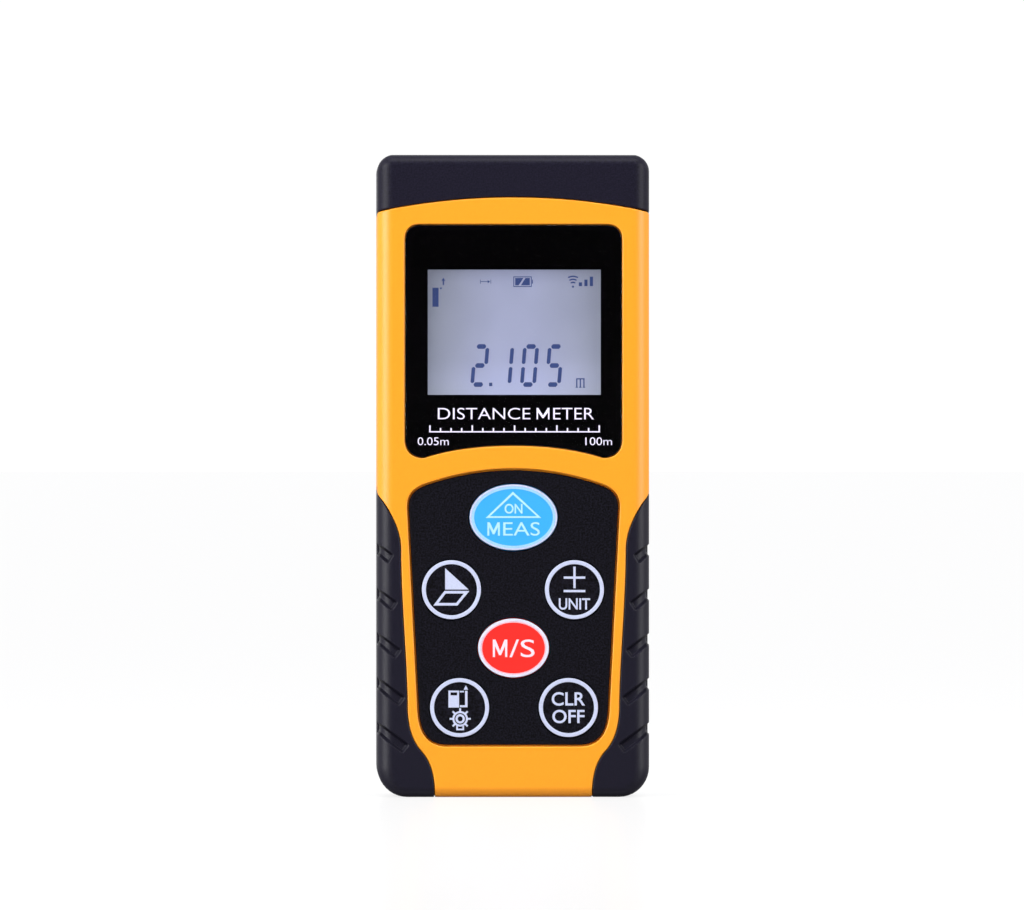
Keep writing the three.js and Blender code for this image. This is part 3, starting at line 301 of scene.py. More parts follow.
class Tray:
    """A face with rounded edges and the walls that follow it, unfolded flat.

    A point of the sheet lies on the face, then follows the round of the edge, and then runs down
    the wall. Depth goes inwards, square to the surface.
    """

    def __init__(self, origin, along_v, face, half_u, v_low, v_high, corner_low, corner_high, edge_u, edge_v):
        self.origin = np.array(origin, float)
        self.along_u = X
        self.along_v = np.array(along_v, float)
        self.face = np.array(face, float)
        self.half_u, self.v_low, self.v_high = half_u, v_low, v_high
        self.corner_low, self.corner_high = corner_low, corner_high
        self.edge_u, self.edge_v = edge_u, edge_v
        self.flip = float(np.dot(np.cross(self.along_u, self.along_v), self.face)) < 0

    def fold(self, uv, depth):
        u, v = np.asarray(uv, float).T
        high = v > (self.v_low + self.v_high) / 2
        corner = np.where(high, self.corner_high, self.corner_low)
        across = np.abs(u) - (self.half_u - corner)
        along = np.where(high, v - (self.v_high - corner), self.v_low + corner - v)
        in_corner = (across > 0) & (along > 0)
        reach = np.maximum(np.hypot(across, along), 1e-9)
        toward_end = along > 0
        nu = np.where(in_corner, across / reach, np.where(toward_end, 0.0, 1.0))
        nv = np.where(in_corner, along / reach, np.where(toward_end, 1.0, 0.0))
        radius = np.hypot(self.edge_u * nu, self.edge_v * nv)
        distance = np.where(in_corner, reach, np.where(toward_end, along, across))
        past = np.maximum(distance - (corner - radius), 0)
        angle = np.minimum(past / radius, math.pi / 2)
        nu *= np.where(u < 0, -1, 1)
        nv *= np.where(high, 1, -1)
        shift = radius * np.sin(angle) - past
        drop = radius * (1 - np.cos(angle)) + np.maximum(past - radius * math.pi / 2, 0)
        lateral = nu[:, None] * self.along_u + nv[:, None] * self.along_v
        normal = lateral * np.sin(angle)[:, None] + np.cos(angle)[:, None] * self.face
        points = (self.origin + u[:, None] * self.along_u + v[:, None] * self.along_v
                  + shift[:, None] * lateral - drop[:, None] * self.face)
        return points - normal * depth, normal

    def edge_at(self, turn):
        """The radius of the rounded edge, where turn is 0 on the sides and 90 on the ends."""
        turn = math.radians(turn)
        return math.hypot(self.edge_u * math.cos(turn), self.edge_v * math.sin(turn))

    def wall_point(self, side, end, turn, drop, u=None, v=None):
        """The sheet point at a given drop below the face. turn is 0 on the sides and 90 on the ends."""
        corner = self.corner_high if end > 0 else self.corner_low
        nu, nv = math.cos(math.radians(turn)), math.sin(math.radians(turn))
        radius = self.edge_at(turn)
        reach = corner - radius + drop - radius + radius * math.pi / 2
        centre_v = self.v_high - corner if end > 0 else self.v_low + corner
        return np.array((
            side * (self.half_u - corner + reach * nu) if u is None else u,
            centre_v + end * reach * nv if v is None else v,
        ))

    def across_edge(self, x):
        """Where a point seen square on at x lies on the sheet."""
        flat = self.half_u - self.edge_u
        if abs(x) <= flat:
            return x
        return math.copysign(flat + self.edge_u * math.asin(min((abs(x) - flat) / self.edge_u, 1)), x)

    def fill(self):
        """Points that make the mesh follow the rounded edges and corners."""

        def drops(radius, count):
            """Depths below the face, down the rounded edge and then down the wall."""
            rounded = radius * (1 - math.pi / 2) + radius * np.linspace(0, math.pi / 2, count)
            return [*rounded, *(radius + np.arange(WALL_STEP, HALF_DEPTH, WALL_STEP))]

        points = []
        for end, corner in ((-1, self.corner_low), (1, self.corner_high)):
            for turn in np.linspace(0, 90, 11):
                points += [self.wall_point(side, end, turn, drop)
                           for drop in drops(self.edge_at(turn), 10) for side in (-1, 1)]
            for u in np.arange(corner - self.half_u + FILL_STEP / 2, self.half_u - corner, FILL_STEP):
                points += [self.wall_point(1, end, 90, drop, u=u) for drop in drops(self.edge_v, 8)]
        low, high = self.v_low + self.corner_low + FILL_STEP / 2, self.v_high - self.corner_high
        for v in np.arange(low, high, FILL_STEP):
            for side in (-1, 1):
                points += [self.wall_point(side, 1, 0, drop, v=v) for drop in drops(self.edge_u, 10)]
        return np.array(points)


# ---------------------------------------------------------------- pieces laid on a surface


def linked(name, data):
    """A new object in the scene for a mesh, lamp, camera or text."""
    made = bpy.data.objects.new(name, data)
    bpy.context.scene.collection.objects.link(made)
    return made


NEAR_RING = 0.3
SLIVER = 1e-9
FLOOR_FILLET = 0.15
BULGE = 0.3


class Piece:
    """Points, triangles and corner normals, gathered until the mesh is made."""

    def __init__(self):
        self.points, self.faces, self.normals = [], [], []
        self.count = 0

    def add_points(self, points):
        first = self.count
        self.points.append(points)
        self.count += len(points)
        return np.arange(first, self.count)

    def add_faces(self, faces, normals, flip):
        if flip:
            faces, normals = faces[:, ::-1], normals[:, ::-1]
        self.faces.append(faces)
        self.normals.append(normals)

    def wall(self, surface, loop, levels):
        """Bands of faces along a loop. levels are (step to the left, depth, tilt towards the face)."""
        step = leftward(loop)
        flat, _ = surface.fold(loop, 0)
        aside, _ = surface.fold(loop - step * 0.01, 0)
        outward = aside - flat
        outward /= np.maximum(np.linalg.norm(outward, axis=1, keepdims=True), 1e-12)
        previous = None
        rings = []
        for offset, depth, tilt in levels:
            uv = loop + step * offset
            points, face_normal = surface.fold(uv, depth)
            normal = face_normal * math.sin(math.radians(tilt)) + outward * math.cos(math.radians(tilt))
            index = self.add_points(points)
            rings.append((index, uv))
            if previous is not None:
                i0, n0 = previous
                i1, j0, j1 = index, np.roll(i0, -1), np.roll(index, -1)
                m0, m1 = np.roll(n0, -1, axis=0), np.roll(normal, -1, axis=0)
                faces = np.concatenate((np.stack((i0, i1, j1), 1), np.stack((i0, j1, j0), 1)))
                normals = np.concatenate((np.stack((n0, normal, m1), 1), np.stack((n0, m1, m0), 1)))
                self.add_faces(faces, normals, surface.flip)
            previous = (index, normal)
        return rings[0], rings[-1]

    def cover(self, surface, rings, depth, back=False):
        """The face between an outer ring and the rings inside it."""
        loops = [uv for _, uv in rings]
        ring_uv = np.concatenate(loops)
        ring_index = np.concatenate([index for index, _ in rings])
        tree = kdtree.KDTree(len(ring_uv))
        for i, (u, v) in enumerate(ring_uv):
            tree.insert((u, v, 0), i)
        tree.balance()
        extra = surface.fill()
        if len(extra):
            extra = extra[between(extra, loops)]
            far = [tree.find((u, v, 0))[2] > NEAR_RING for u, v in extra]
            extra = extra[np.array(far, bool)]
            _, unique = np.unique(np.round(extra, 3), axis=0, return_index=True)
            extra = extra[np.sort(unique)]
        edges = []
        start = 0
        for loop in loops:
            n = len(loop)
            edges += [(start + i, start + (i + 1) % n) for i in range(n)]
            start += n
        every = np.concatenate((ring_uv, extra))
        made = delaunay_2d_cdt([Vector(p) for p in every], edges, [], 0, 1e-5)
        uv = np.array([tuple(p) for p in made[0]])
        triangles = np.array([f for f in made[2] if len(f) == 3])
        points, face_normal = surface.fold(uv, depth)
        if back:
            face_normal = -face_normal
        index = np.full(len(uv), -1)
        for i, origins in enumerate(made[3]):
            known = [o for o in origins if o < len(ring_uv)]
            if known:
                index[i] = ring_index[known[0]]
        new = index < 0
        index[new] = self.add_points(points[new])
        triangles = triangles[between(uv[triangles].mean(axis=1), loops)]
        triangles = wound(uv, triangles, SLIVER)
        self.add_faces(index[triangles], face_normal[triangles], surface.flip != back)

    def skin(self, surface, outer, holes=(), dents=(), top=0.0, bottom=1.0, edge=0.2, back_edge=0.0):
        """A sheet with rounded edges. dents are (loop, depth, slope, holes in the floor)."""
        rounded, ending = [(0, top, 0)], [(0, bottom, 0)]
        if edge:
            turns = [(t, math.radians(t)) for t in (90, 60, 30, 0)]
            rounded = [(edge * (1 - math.cos(a)), top + edge * (1 - math.sin(a)), t) for t, a in turns]
        if back_edge:
            bulge = back_edge * BULGE
            ending = [(0, bottom - back_edge, 0), (bulge, bottom - bulge, -45), (back_edge, bottom, -90)]
        tops, bottoms = [], []
        for sign, loop in [(1, outer)] + [(-1, hole) for hole in holes]:
            first, last = self.wall(surface, turning(loop, sign), rounded + ending)
            tops.append(first)
            bottoms.append(last)
        for loop, depth, slope, floor_holes in dents:
            deep = top + depth
            fillet = min(FLOOR_FILLET, (depth - edge) / 2)
            bulge = fillet * BULGE
            levels = rounded + [(-slope, deep - fillet, 0), (-slope - bulge, deep - bulge, 45),
                                (-slope - fillet, deep, 90)]
            first, last = self.wall(surface, turning(loop, -1), levels)
            tops.append(first)
            floor = [last]
            for hole in floor_holes:
                levels = [(0.1, deep, 60), (0, deep + 0.1, 0), (0, bottom, 0)]
                start, end = self.wall(surface, turning(hole, -1), levels)
                floor.append(start)
                bottoms.append(end)
            self.cover(surface, floor, deep)
        self.cover(surface, tops, top)
        self.cover(surface, bottoms, bottom, back=True)
        return self

    def turned(self, centre, axis, profile, sides=64):
        """A body of revolution about axis through centre. profile is a closed list of (radius, height)."""
        axis = np.array(axis, float)
        first = X if abs(axis[0]) < 0.5 else Y
        second = np.cross(axis, first)
        profile = np.array(profile, float)
        angles = np.linspace(0, 2 * math.pi, sides, endpoint=False)
        spokes = np.cos(angles)[:, None] * first + np.sin(angles)[:, None] * second
        edges = np.roll(profile, -1, axis=0) - profile
        for (r, h), (dr, dh) in zip(profile, edges):
            length = math.hypot(dr, dh)
            if length < 1e-9 or (r < 1e-9 and r + dr < 1e-9):
                continue
            normal = (dh * spokes - dr * axis) / length
            low = np.array(centre, float) + r * spokes + h * axis
            high = np.array(centre, float) + (r + dr) * spokes + (h + dh) * axis
            i0, i1 = self.add_points(low), self.add_points(high)
            j0, j1 = np.roll(i0, -1), np.roll(i1, -1)
            m = np.roll(normal, -1, axis=0)
            parts = []
            if r > 1e-9:
                parts.append((np.stack((i0, j0, j1), 1), np.stack((normal, m, m), 1)))
            if r + dr > 1e-9:
                parts.append((np.stack((i0, j1, i1), 1), np.stack((normal, m, normal), 1)))
            for faces, normals in parts:
                self.add_faces(faces, normals, False)
        return self

    def finish(self, name, look, *nodes, body="housing", slot=None):
        """Makes the object with its material and body, and hides the CAD nodes it stands for. slot is not
        used.
        """
        points = np.concatenate(self.points) * MM
        faces = np.concatenate(self.faces)
        normals = np.concatenate(self.normals).reshape(-1, 3, 3)
        merged, where = np.unique(np.round(points, 8), axis=0, return_inverse=True)
        faces = where.reshape(-1)[faces]
        whole = (faces != np.roll(faces, 1, axis=1)).all(axis=1)
        mesh = bpy.data.meshes.new(name)
        mesh.from_pydata(merged.tolist(), [], faces[whole].tolist())
        mesh.shade_smooth()
        mesh.normals_split_custom_set(normals[whole].reshape(-1, 3).tolist())
        mesh.validate()
        mesh.materials.append(LOOKS[look].material)
        made = linked(name, mesh)
        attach(made, body)
        if nodes:
            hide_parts(*nodes)
        return made


# ---------------------------------------------------------------- materials


class Nodes:
    """A node tree to add to. Inputs are named or numbered, and take a value or the output that feeds them."""

    def __init__(self, owner):
        owner.use_nodes = True
        self.tree = owner.node_tree

    def feed(self, node, inputs):
        for name, value in inputs.items():
            if isinstance(value, bpy.types.NodeSocket):
                self.tree.links.new(value, node.inputs[name])
            else:
                node.inputs[name].default_value = value

    def add(self, kind, inputs=None, **settings):
        made = self.tree.nodes.new("ShaderNode" + kind)
        for name, value in settings.items():
            setattr(made, name, value)
        self.feed(made, inputs or {})
        return made


class Look(Nodes):
    """A procedural material: a principled shader fed by noise in the object's own space."""

    def __init__(self, name, color, roughness, metallic=0.0, specular=0.5, **shader):
        self.material = bpy.data.materials.new(name)
        super().__init__(self.material)
        self.shader = self.tree.nodes["Principled BSDF"]
        self.color = (*color, 1)
        self.material.diffuse_color = self.color
        self.set({"Base Color": self.color, "Roughness": roughness, "Metallic": metallic,
                  "Specular IOR Level": specular})
        for key, value in shader.items():
            self.set({key.replace("_", " ").title().replace("Ior", "IOR"): value})
        self.space = self.add("TexCoord").outputs["Object"]

    def set(self, inputs):
        self.feed(self.shader, inputs)
        return self

    def scaled(self, size, stretch=(1, 1, 1)):
        """The object's own space, counted in steps of size millimetres."""
        scale = tuple(1 / (size * MM * s) for s in stretch)
        return self.add("Mapping", {"Vector": self.space, "Scale": scale}).outputs["Vector"]

    def noise(self, size, detail=3.0, stretch=(1, 1, 1)):
        """Noise whose blobs are about size millimetres across."""
        inputs = {"Vector": self.scaled(size, stretch), "Scale": 1.0, "Detail": detail}
        return self.add("TexNoise", inputs).outputs["Fac"]

    def spread(self, source, low, high, start=0.35, end=0.65):
        """The source's range from start to end, spread from low to high."""
        inputs = {"Value": source, "From Min": start, "From Max": end, "To Min": low, "To Max": high}
        return self.add("MapRange", inputs).outputs["Result"]

    def mixed(self, factor, first, second, **settings):
        inputs = {"Factor": factor, "A": first, "B": second}
        return self.add("Mix", inputs, data_type="RGBA", **settings).outputs["Result"]

    def mottle(self, source, low, high):
        """The base colour goes from low to high times itself with the noise."""
        dark, light = ((*(min(c * times, 1) for c in self.color[:3]), 1) for times in (low, high))
        return self.set({"Base Color": self.mixed(self.spread(source, 0, 1), dark, light)})

    def bump(self, *layers):
        """Each layer is (noise, height in millimetres)."""
        below = {}
        for source, height in layers:
            inputs = {"Strength": 1.0, "Distance": height * MM, "Height": source}
            below = {"Normal": self.add("Bump", inputs | below).outputs["Normal"]}
        return self.set(below)


def moulded(name, color, roughness, grain, height, speckle, specular):
    """Moulded plastic or rubber with a fine spark-eroded grain; speckle is how much its colour varies."""
    look = Look(name, color, roughness, specular=specular)
    fine = look.noise(grain, 2)
    look.mottle(fine, 1 - speckle, 1 + speckle)
    look.set({"Roughness": look.spread(fine, roughness - 0.05, roughness + 0.05)})
    return look.bump((fine, height), (look.noise(9, 3), height * 2))


def metal(name, color, roughness, stretch=(1, 1, 1)):
    look = Look(name, color, roughness, metallic=1.0)
    streaks = look.noise(0.25, 3, stretch)
    look.mottle(streaks, 0.9, 1.08)
    look.set({"Roughness": look.spread(streaks, roughness * 0.75, roughness * 1.3)})
    return look.bump((streaks, 0.004))


LOOKS = {}
for look_name, look_color, look_roughness, look_grain, look_height, look_speckle, look_specular in (
        ("orange_plastic", (0.95, 0.34, 0.012), 0.41, 0.16, 0.0035, 0.03, 0.5),
        ("cap_plastic", (0.0098, 0.0086, 0.0185), 0.42, 0.3, 0.011, 0.3, 0.14),
        ("grip_rubber", (0.0066, 0.0056, 0.0145), 0.44, 0.25, 0.009, 0.15, 0.27),
        ("keypad_black", (0.0041, 0.0038, 0.0072), 0.48, 0.32, 0.035, 0.95, 0.12),
        ("key_black", (0.0041, 0.0038, 0.0072), 0.48, 0.32, 0.035, 0.95, 0.12),
        ("key_blue", (0.04, 0.39, 0.93), 0.5, 0.18, 0.003, 0.03, 0.3),
        ("key_red", (0.95, 0.022, 0.016), 0.5, 0.18, 0.003, 0.03, 0.3),
        ("silicone", (0.1, 0.1, 0.11), 0.7, 0.3, 0.006, 0.03, 0.5),
        ("chip_black", (0.01, 0.01, 0.011), 0.5, 0.1, 0.006, 0.03, 0.5),
        ("frame_white", (0.69, 0.69, 0.64), 0.5, 0.3, 0.004, 0.03, 0.5),
        ("ribbon_film", (0.52, 0.19, 0.025), 0.35, 0.6, 0.003, 0.03, 0.5),
        ("label_silver", (0.58, 0.6, 0.63), 0.38, 0.5, 0.002, 0.03, 0.5),
        ("foam", (0.02, 0.02, 0.02), 0.95, 0.7, 0.12, 0.03, 0.1)):
    LOOKS[look_name] = moulded(look_name, look_color, look_roughness, look_grain, look_height, look_speckle,
                               look_specular)
LOOKS["cast_metal"] = metal("cast_metal", (0.4, 0.41, 0.43), 0.5)
LOOKS["brass"] = metal("brass", (0.62, 0.4, 0.1), 0.3, (8, 8, 0.4))
LOOKS["steel"] = metal("steel", (0.58, 0.59, 0.61), 0.28, (6, 1, 6))


def circuit_board():
    """Solder mask with tracks showing through and small bright pads."""
    look = Look("circuit_board", (0.012, 0.1, 0.04), 0.35)
    inputs = {"Vector": look.scaled(1.6), "Scale": 1.0}
    pads = look.add("TexVoronoi", inputs, distance="CHEBYCHEV").outputs["Distance"]
    return look.mottle(pads, 0.6, 1.5).bump((pads, 0.02))


CELL_BAND_Z = 48.0


def glossy(name, color, roughness=0.06, **shader):
    """Hard clear or black gloss, very slightly uneven."""
    look = Look(name, color, roughness, **shader)
    waves = look.noise(14, 2)
    look.mottle(waves, 0.95, 1.05)
    return look.bump((waves, 0.0004))


def cell_jacket():
    """A printed sleeve: dark blue, and silver above CELL_BAND_Z."""
    look = Look("cell_jacket", (0.04, 0.1, 0.26), 0.3, metallic=0.35)
    height = look.add("SeparateXYZ", {"Vector": look.space}).outputs["Z"]
    silver = look.add("Math", {0: height, 1: CELL_BAND_Z * MM}, operation="GREATER_THAN").outputs["Value"]
    look.set({"Base Color": look.mixed(silver, look.color, (0.5, 0.5, 0.52, 1))})
    return look.bump((look.noise(0.6, 2), 0.003))


LOOKS["circuit_board"] = circuit_board()
LOOKS["cell_jacket"] = cell_jacket()
LOOKS["window_black"] = glossy("window_black", (0.0012, 0.0006, 0.0016), 0.09, specular=0.2)
LOOKS["window_clear"] = glossy("window_clear", (0.99, 0.99, 1.0), 0.02, transmission_weight=1.0, ior=1.3)
LOOKS["lens_glass"] = glossy("lens_glass", (0.8, 0.62, 0.82), 0.02, transmission_weight=1.0, ior=1.5,
                             coat_weight=0.4)
LOOKS["optics_tint"] = glossy("optics_tint", (0.09, 0.012, 0.014), 0.05, transmission_weight=0.4, ior=1.45)


def printed(name, color, glow):
    """Opaque ink, slightly uneven in colour. Where glow is given, the ink also glows: painted light standing
    in for the light that the lens in front keeps from it.
    """
    look = Look(name, color, 0.55, specular=0.2)
    if glow:
        # Painted light: an emission that makes the ink look lit.
        look.set({"Emission Color": look.color, "Emission Strength": glow})
    fine = look.noise(0.35, 2)
    return look.mottle(fine, 0.95, 1.04).bump((fine, 0.003))


for ink_name, ink_color, ink_painted_glow in (
        ("ink_white", (0.54, 0.58, 0.77), 0),
        ("ink_lavender", (0.52, 0.6, 0.84), 0),
        ("ink_bright", (0.72, 0.68, 0.82), 0),
        ("ink_pink", (0.9, 0.5, 0.58), 0),
        ("ink_rose", (0.93, 0.7, 0.78), 0),
        ("ink_cyan", (0.42, 0.74, 0.98), 0),
        ("ink_pale_blue", (0.34, 0.62, 0.93), 0),
        # ink_window and ink_segment glow: painted light, as both lie behind the clear lens.
        ("ink_window", (0.7, 0.68, 0.76), 0.7),
        ("ink_segment", (0.035, 0.055, 0.17), 0.7)):
    LOOKS[ink_name] = printed(ink_name, ink_color, ink_painted_glow)


def display_painted_light():
    """A liquid-crystal panel: blue-grey, with a very fine pixel grain. Its glow is painted light standing in
    for the light that the lens in front keeps from it, and painted shade darkens it towards the top and both
    sides, so it is brightest in the middle.
    """
    look = Look("display_grey", (0.2, 0.21, 0.26), 0.3, specular=0.2)
    place = look.add("SeparateXYZ", {"Vector": look.space}).outputs

    def ramp(axis, low, high, stops):
        """Painted light and shade along one axis. stops are (place, brightness, how blue it is)."""
        made = look.add("ValToRGB", {"Fac": look.spread(place[axis], 0, 1, low * MM, high * MM)})
        elements = made.color_ramp.elements
        while len(elements) < len(stops):
            elements.new(0.5)
        for element, (position, value, blue) in zip(elements, stops):
            element.position = position
            element.color = (value, value, value * blue, 1)
        return made.outputs["Color"]

    def times(first, second):
        return look.mixed(1.0, first, second, blend_type="MULTIPLY")

    # Painted shade: darker towards the left and right edges.
    across = ramp("X", -VIEW_HALF_WIDTH, VIEW_HALF_WIDTH, [
        (0.0, 0.57, 0.84), (0.05, 0.66, 0.86), (0.16, 0.755, 0.91), (0.25, 0.845, 0.96), (0.4, 0.985, 1.0),
        (0.6, 1.0, 1.0), (0.86, 0.855, 0.93), (1.0, 0.72, 0.86)])
    # Painted shade: darker towards the top.
    up = ramp("Z", VIEW_LOW_Z, VIEW_TOP_Z, [
        (0.0, 1.0, 0.97), (0.12, 0.88, 1.03), (0.28, 0.73, 1.02), (0.45, 0.69, 1.0), (0.75, 0.63, 1.0),
        (0.9, 0.64, 1.0), (0.97, 0.56, 1.0), (1.0, 0.48, 1.0)])
    # Painted light: the panel glows though it is no lamp.
    glow = times(times(across, up), (0.395, 0.431, 0.66, 1))
    look.set({"Emission Color": glow, "Emission Strength": 1.0})
    return look.bump((look.noise(0.2, 1), 0.001))


LOOKS["display_grey"] = display_painted_light()


def front_plane(y):
    return Flat((0, y, 0), X, Z, -Y)


def rear_plane(y):
    return Flat((0, y, 0), X, Z, Y)


def side_plane(x):
    return Flat((x, 0, 0), Y, Z, X)


def top_plane(z):
    return Flat((0, 0, z), X, Y, Z)


# ---------------------------------------------------------------- outlines on the case

FACE_SHAPE = (HALF_WIDTH, 0, HEIGHT, BASE_CORNER, NOSE_CORNER, EDGE_RADIUS, END_EDGE_RADIUS)
FRONT = Tray((0, LOW[1], 0), Z, -Y, *FACE_SHAPE)
REAR = Tray((0, HIGH[1], 0), Z, Y, *FACE_SHAPE)
NOSE = Tray((0, 0, HEIGHT), Y, Z, HALF_WIDTH, -HALF_DEPTH, HALF_DEPTH, EDGE_RADIUS, EDGE_RADIUS,
            NOSE_CORNER, END_EDGE_RADIUS)


def seam_z(x, y):
    """Height of the seam between case and nose cap."""
    if abs(x) < SIDE_FACE_X:
        return CAP_CROWN_Z - CAP_ARCH_RADIUS + math.sqrt(CAP_ARCH_RADIUS ** 2 - x * x)
    return CAP_SIDE_Z + CAP_SIDE_RADIUS - math.sqrt(CAP_SIDE_RADIUS ** 2 - y * y)


def case_seam(tray):
    """The nose cap's seam on one half of the case, from right to left."""
    reach = tray.wall_point(1, 1, 0, HALF_DEPTH, v=0)[0]
    points = []
    for u in np.linspace(reach, -reach, 130):
        (x, y, _), = tray.fold([(u, CAP_SIDE_Z)], 0)[0]
        points.append(np.array((u, seam_z(x, y))))
    return points


def onto_end(tray, z):
    """Where a height seen square on lies on the sheet, down to the lower end."""
    if z >= tray.edge_v:
        return z
    return tray.edge_v - tray.edge_v * math.asin(min((tray.edge_v - z) / tray.edge_v, 1))


def grip_edge(tray):
    """The right grip's boundary, from the parting line below to the parting line at the side."""
    parting_v = tray.wall_point(1, -1, 90, HALF_DEPTH, u=0)[1]
    parting_u = tray.wall_point(1, 1, 0, HALF_DEPTH, v=0)[0]
    below = line((GRIP_FOOT[0], parting_v), (GRIP_FOOT[0], onto_end(tray, 0)))
    front = line((GRIP_FOOT[0], 0)) + curve((GRIP_FOOT[0], 0), GRIP_FOOT, steps=4)
    front += curve(GRIP_FOOT, (14.7, 6.1), GRIP_KNEE)
    front += curve(GRIP_KNEE, (19.4, 11.2), GRIP_CALF)
    front += curve(GRIP_CALF, (GRIP_CALF[0], 24), (GRIP_SHOULDER[0], 36), GRIP_SHOULDER, steps=24)
    upper = curve(GRIP_SHOULDER, (GRIP_SHOULDER[0], 50.2), GRIP_TIP, steps=24)
    upper = [p for p in upper if p[0] < 24]
    front = [np.array((tray.across_edge(x), onto_end(tray, z))) for x, z in front + upper]

    def side_top(u):
        y = HALF_DEPTH - tray.edge_u - (u - tray.half_u + tray.edge_u - tray.edge_u * math.pi / 2)
        return GRIP_SIDE_TOP_Z - GRIP_SIDE_RADIUS + math.sqrt(GRIP_SIDE_RADIUS ** 2 - y * y)

    join_u = parting_u - HALF_DEPTH + tray.edge_u + 1.0
    turn = curve(front[-1], (join_u - 1.9, side_top(join_u) - 0.35), (join_u, side_top(join_u)), steps=8)
    side = [np.array((u, side_top(u))) for u in np.linspace(join_u, parting_u, 16)[1:]]
    return below + front[1:] + turn + side


def parting_right(tray, high_z):
    """The parting line from the lower end round the right corner and up the side."""
    start = tray.wall_point(1, -1, 90, HALF_DEPTH, u=14.44)
    corner = [tray.wall_point(1, -1, turn, HALF_DEPTH) for turn in np.linspace(90, 0, 16)]
    return [start] + corner + [tray.wall_point(1, -1, 0, HALF_DEPTH, v=high_z)]


def case_outline(tray):
    right = grip_edge(tray)
    return dense(grown(right + case_seam(tray) + mirrored(right), -SEAM / 3), 0.6)


def grip_outline(tray, side):
    right = parting_right(tray, GRIP_SIDE_TOP_Z) + grip_edge(tray)[::-1]
    loop = right if side > 0 else mirrored(right)
    return dense(grown(loop, -SEAM / 3), 0.6)


def window_outline(grow):
    _, high = box("display_window")
    half, top, foot, crest = high[0] + grow, high[2] + grow, WINDOW_LOW_Z - grow, WINDOW_ARCH_Z - grow
    corner, heel = WINDOW_CORNER, WINDOW_HEEL
    right = curve((half - corner, top), (half, top), (half, top - corner))
    right += line((half, foot + heel))
    right += curve((half, foot + heel), (half, foot + heel / 4), (half - heel / 2, foot), (half - heel, foot))
    right += curve((half - heel, foot), (half - 3 * heel, crest), (0, crest), steps=20)
    return mirrored(right)[1:] + right


def panel_outline(grow):
    crown, foot = PANEL_CROWN_Z + grow, PANEL_LOW_Z - grow
    shoulder = (PANEL_SHOULDER[0], PANEL_SHOULDER[1] + grow)
    high = (PANEL_HIGH[0] + grow, PANEL_HIGH[1])
    narrow = (PANEL_NARROW[0] + grow, PANEL_NARROW[1])
    bend = ((shoulder[0] + high[0]) / 2 + 0.7, shoulder[1] - 0.8)
    heel = (PANEL_BASE_HALF_WIDTH + 3.2 + grow, PANEL_NARROW[1] - 4.2)
    right = line((0, crown))
    right += curve((0, crown), (shoulder[0] / 2, crown), shoulder)
    right += curve(shoulder, bend, (high[0] + 0.1, bend[1] - 1.2), high)
    right += line(narrow)
    right += curve(narrow, (narrow[0] - 0.3, heel[1]), (heel[0], foot), (PANEL_BASE_HALF_WIDTH, foot))
    return right + mirrored(right)[:-1]


# ---------------------------------------------------------------- the keys

KEY_FLANGE = 0.8
KEY_NAMES = ("measure", "area", "unit", "memory", "reference", "clear")
KEYS = {}
for key_name in KEY_NAMES:
    (key_left, key_face, key_foot), (key_right, key_back, key_top) = box("key_" + key_name)
    KEYS[key_name] = {
        "centre": ((key_left + key_right) / 2, (key_foot + key_top) / 2),
        "half": ((key_right - key_left) / 2 - KEY_FLANGE, (key_top - key_foot) / 2 - KEY_FLANGE),
        "face": key_face,
        "back": key_back,
    }


def key_outline(key, grow):
    return ellipse(key["centre"], (key["half"][0] + grow, key["half"][1] + grow))


# ---------------------------------------------------------------- case pieces

CASE_EDGE = 0.24
GRIP_EDGE = 0.18


def lip(tray):
    """The collar of one case half that tucks up inside the nose cap."""
    seam = case_seam(tray)
    return dense(moved(seam, 0, -1.2)[::-1] + moved(seam, 0, 2.6), 0.9)


def ledge(tray, side):
    """The thinner wall of the case under one grip."""
    loop = grip_outline(tray, side)
    return dense(grown(loop, 0.6), 1.2)


def front_shell():
    made = Piece()
    half = VIEW_HALF_WIDTH + 0.4
    view = rounded_box(-half, half, VIEW_LOW_Z - 0.4, VIEW_TOP_Z + 0.4, 0.5)
    window_pocket = (dense(window_outline(0.15), 0.6), 1.4, 0, [view])
    keypad_pocket = (dense(panel_outline(0.15), 0.6), 1.2, 0, [key_outline(k, 0.3) for k in KEYS.values()])
    made.skin(FRONT, case_outline(FRONT), dents=[window_pocket, keypad_pocket], bottom=SHELL, edge=CASE_EDGE)
    made.skin(FRONT, lip(FRONT), top=UNDER_GRIP, bottom=SHELL + 0.2, edge=0)
    for side in (-1, 1):
        made.skin(FRONT, ledge(FRONT, side), top=UNDER_GRIP, bottom=SHELL + 0.1, edge=0)
    return made.finish("front_shell_skin", "orange_plastic", "front_shell")


SCREWS = ["case_screw_%d" % i for i in range(1, 5)]
SCREW_PLACES = [tuple(middle(node)[::2]) for node in SCREWS]
SCREW_WELL = 2.3
SCREW_WELL_FLOOR_Y = 6.0
SCREW_BOSS = 2.9
SCREW_BORE = 1.2
LABEL_HALF_WIDTH = 16.0
LABEL_LOW_Z = 73.0
LABEL_TOP_Z = 101.0
DOOR_HALF_WIDTH = 12.8
DOOR_TOP_Z = 64.0
DOOR_LOW_Z = 11.4
DOOR_CORNER = 2.0
DOOR_BACK_Y = 11.9
SCOOP_HALF = 5.0
SCOOP_Z = 65.5
SCOOP_RADIUS = 5.5
BAY_HALF = 11.3
BAY_LOW_Z = 12.4
BAY_TOP_Z = 63.0
BAY_DEPTH = 8.85
SLOT_LOW_Z = 9.4
LEDGE_Y = 11.7


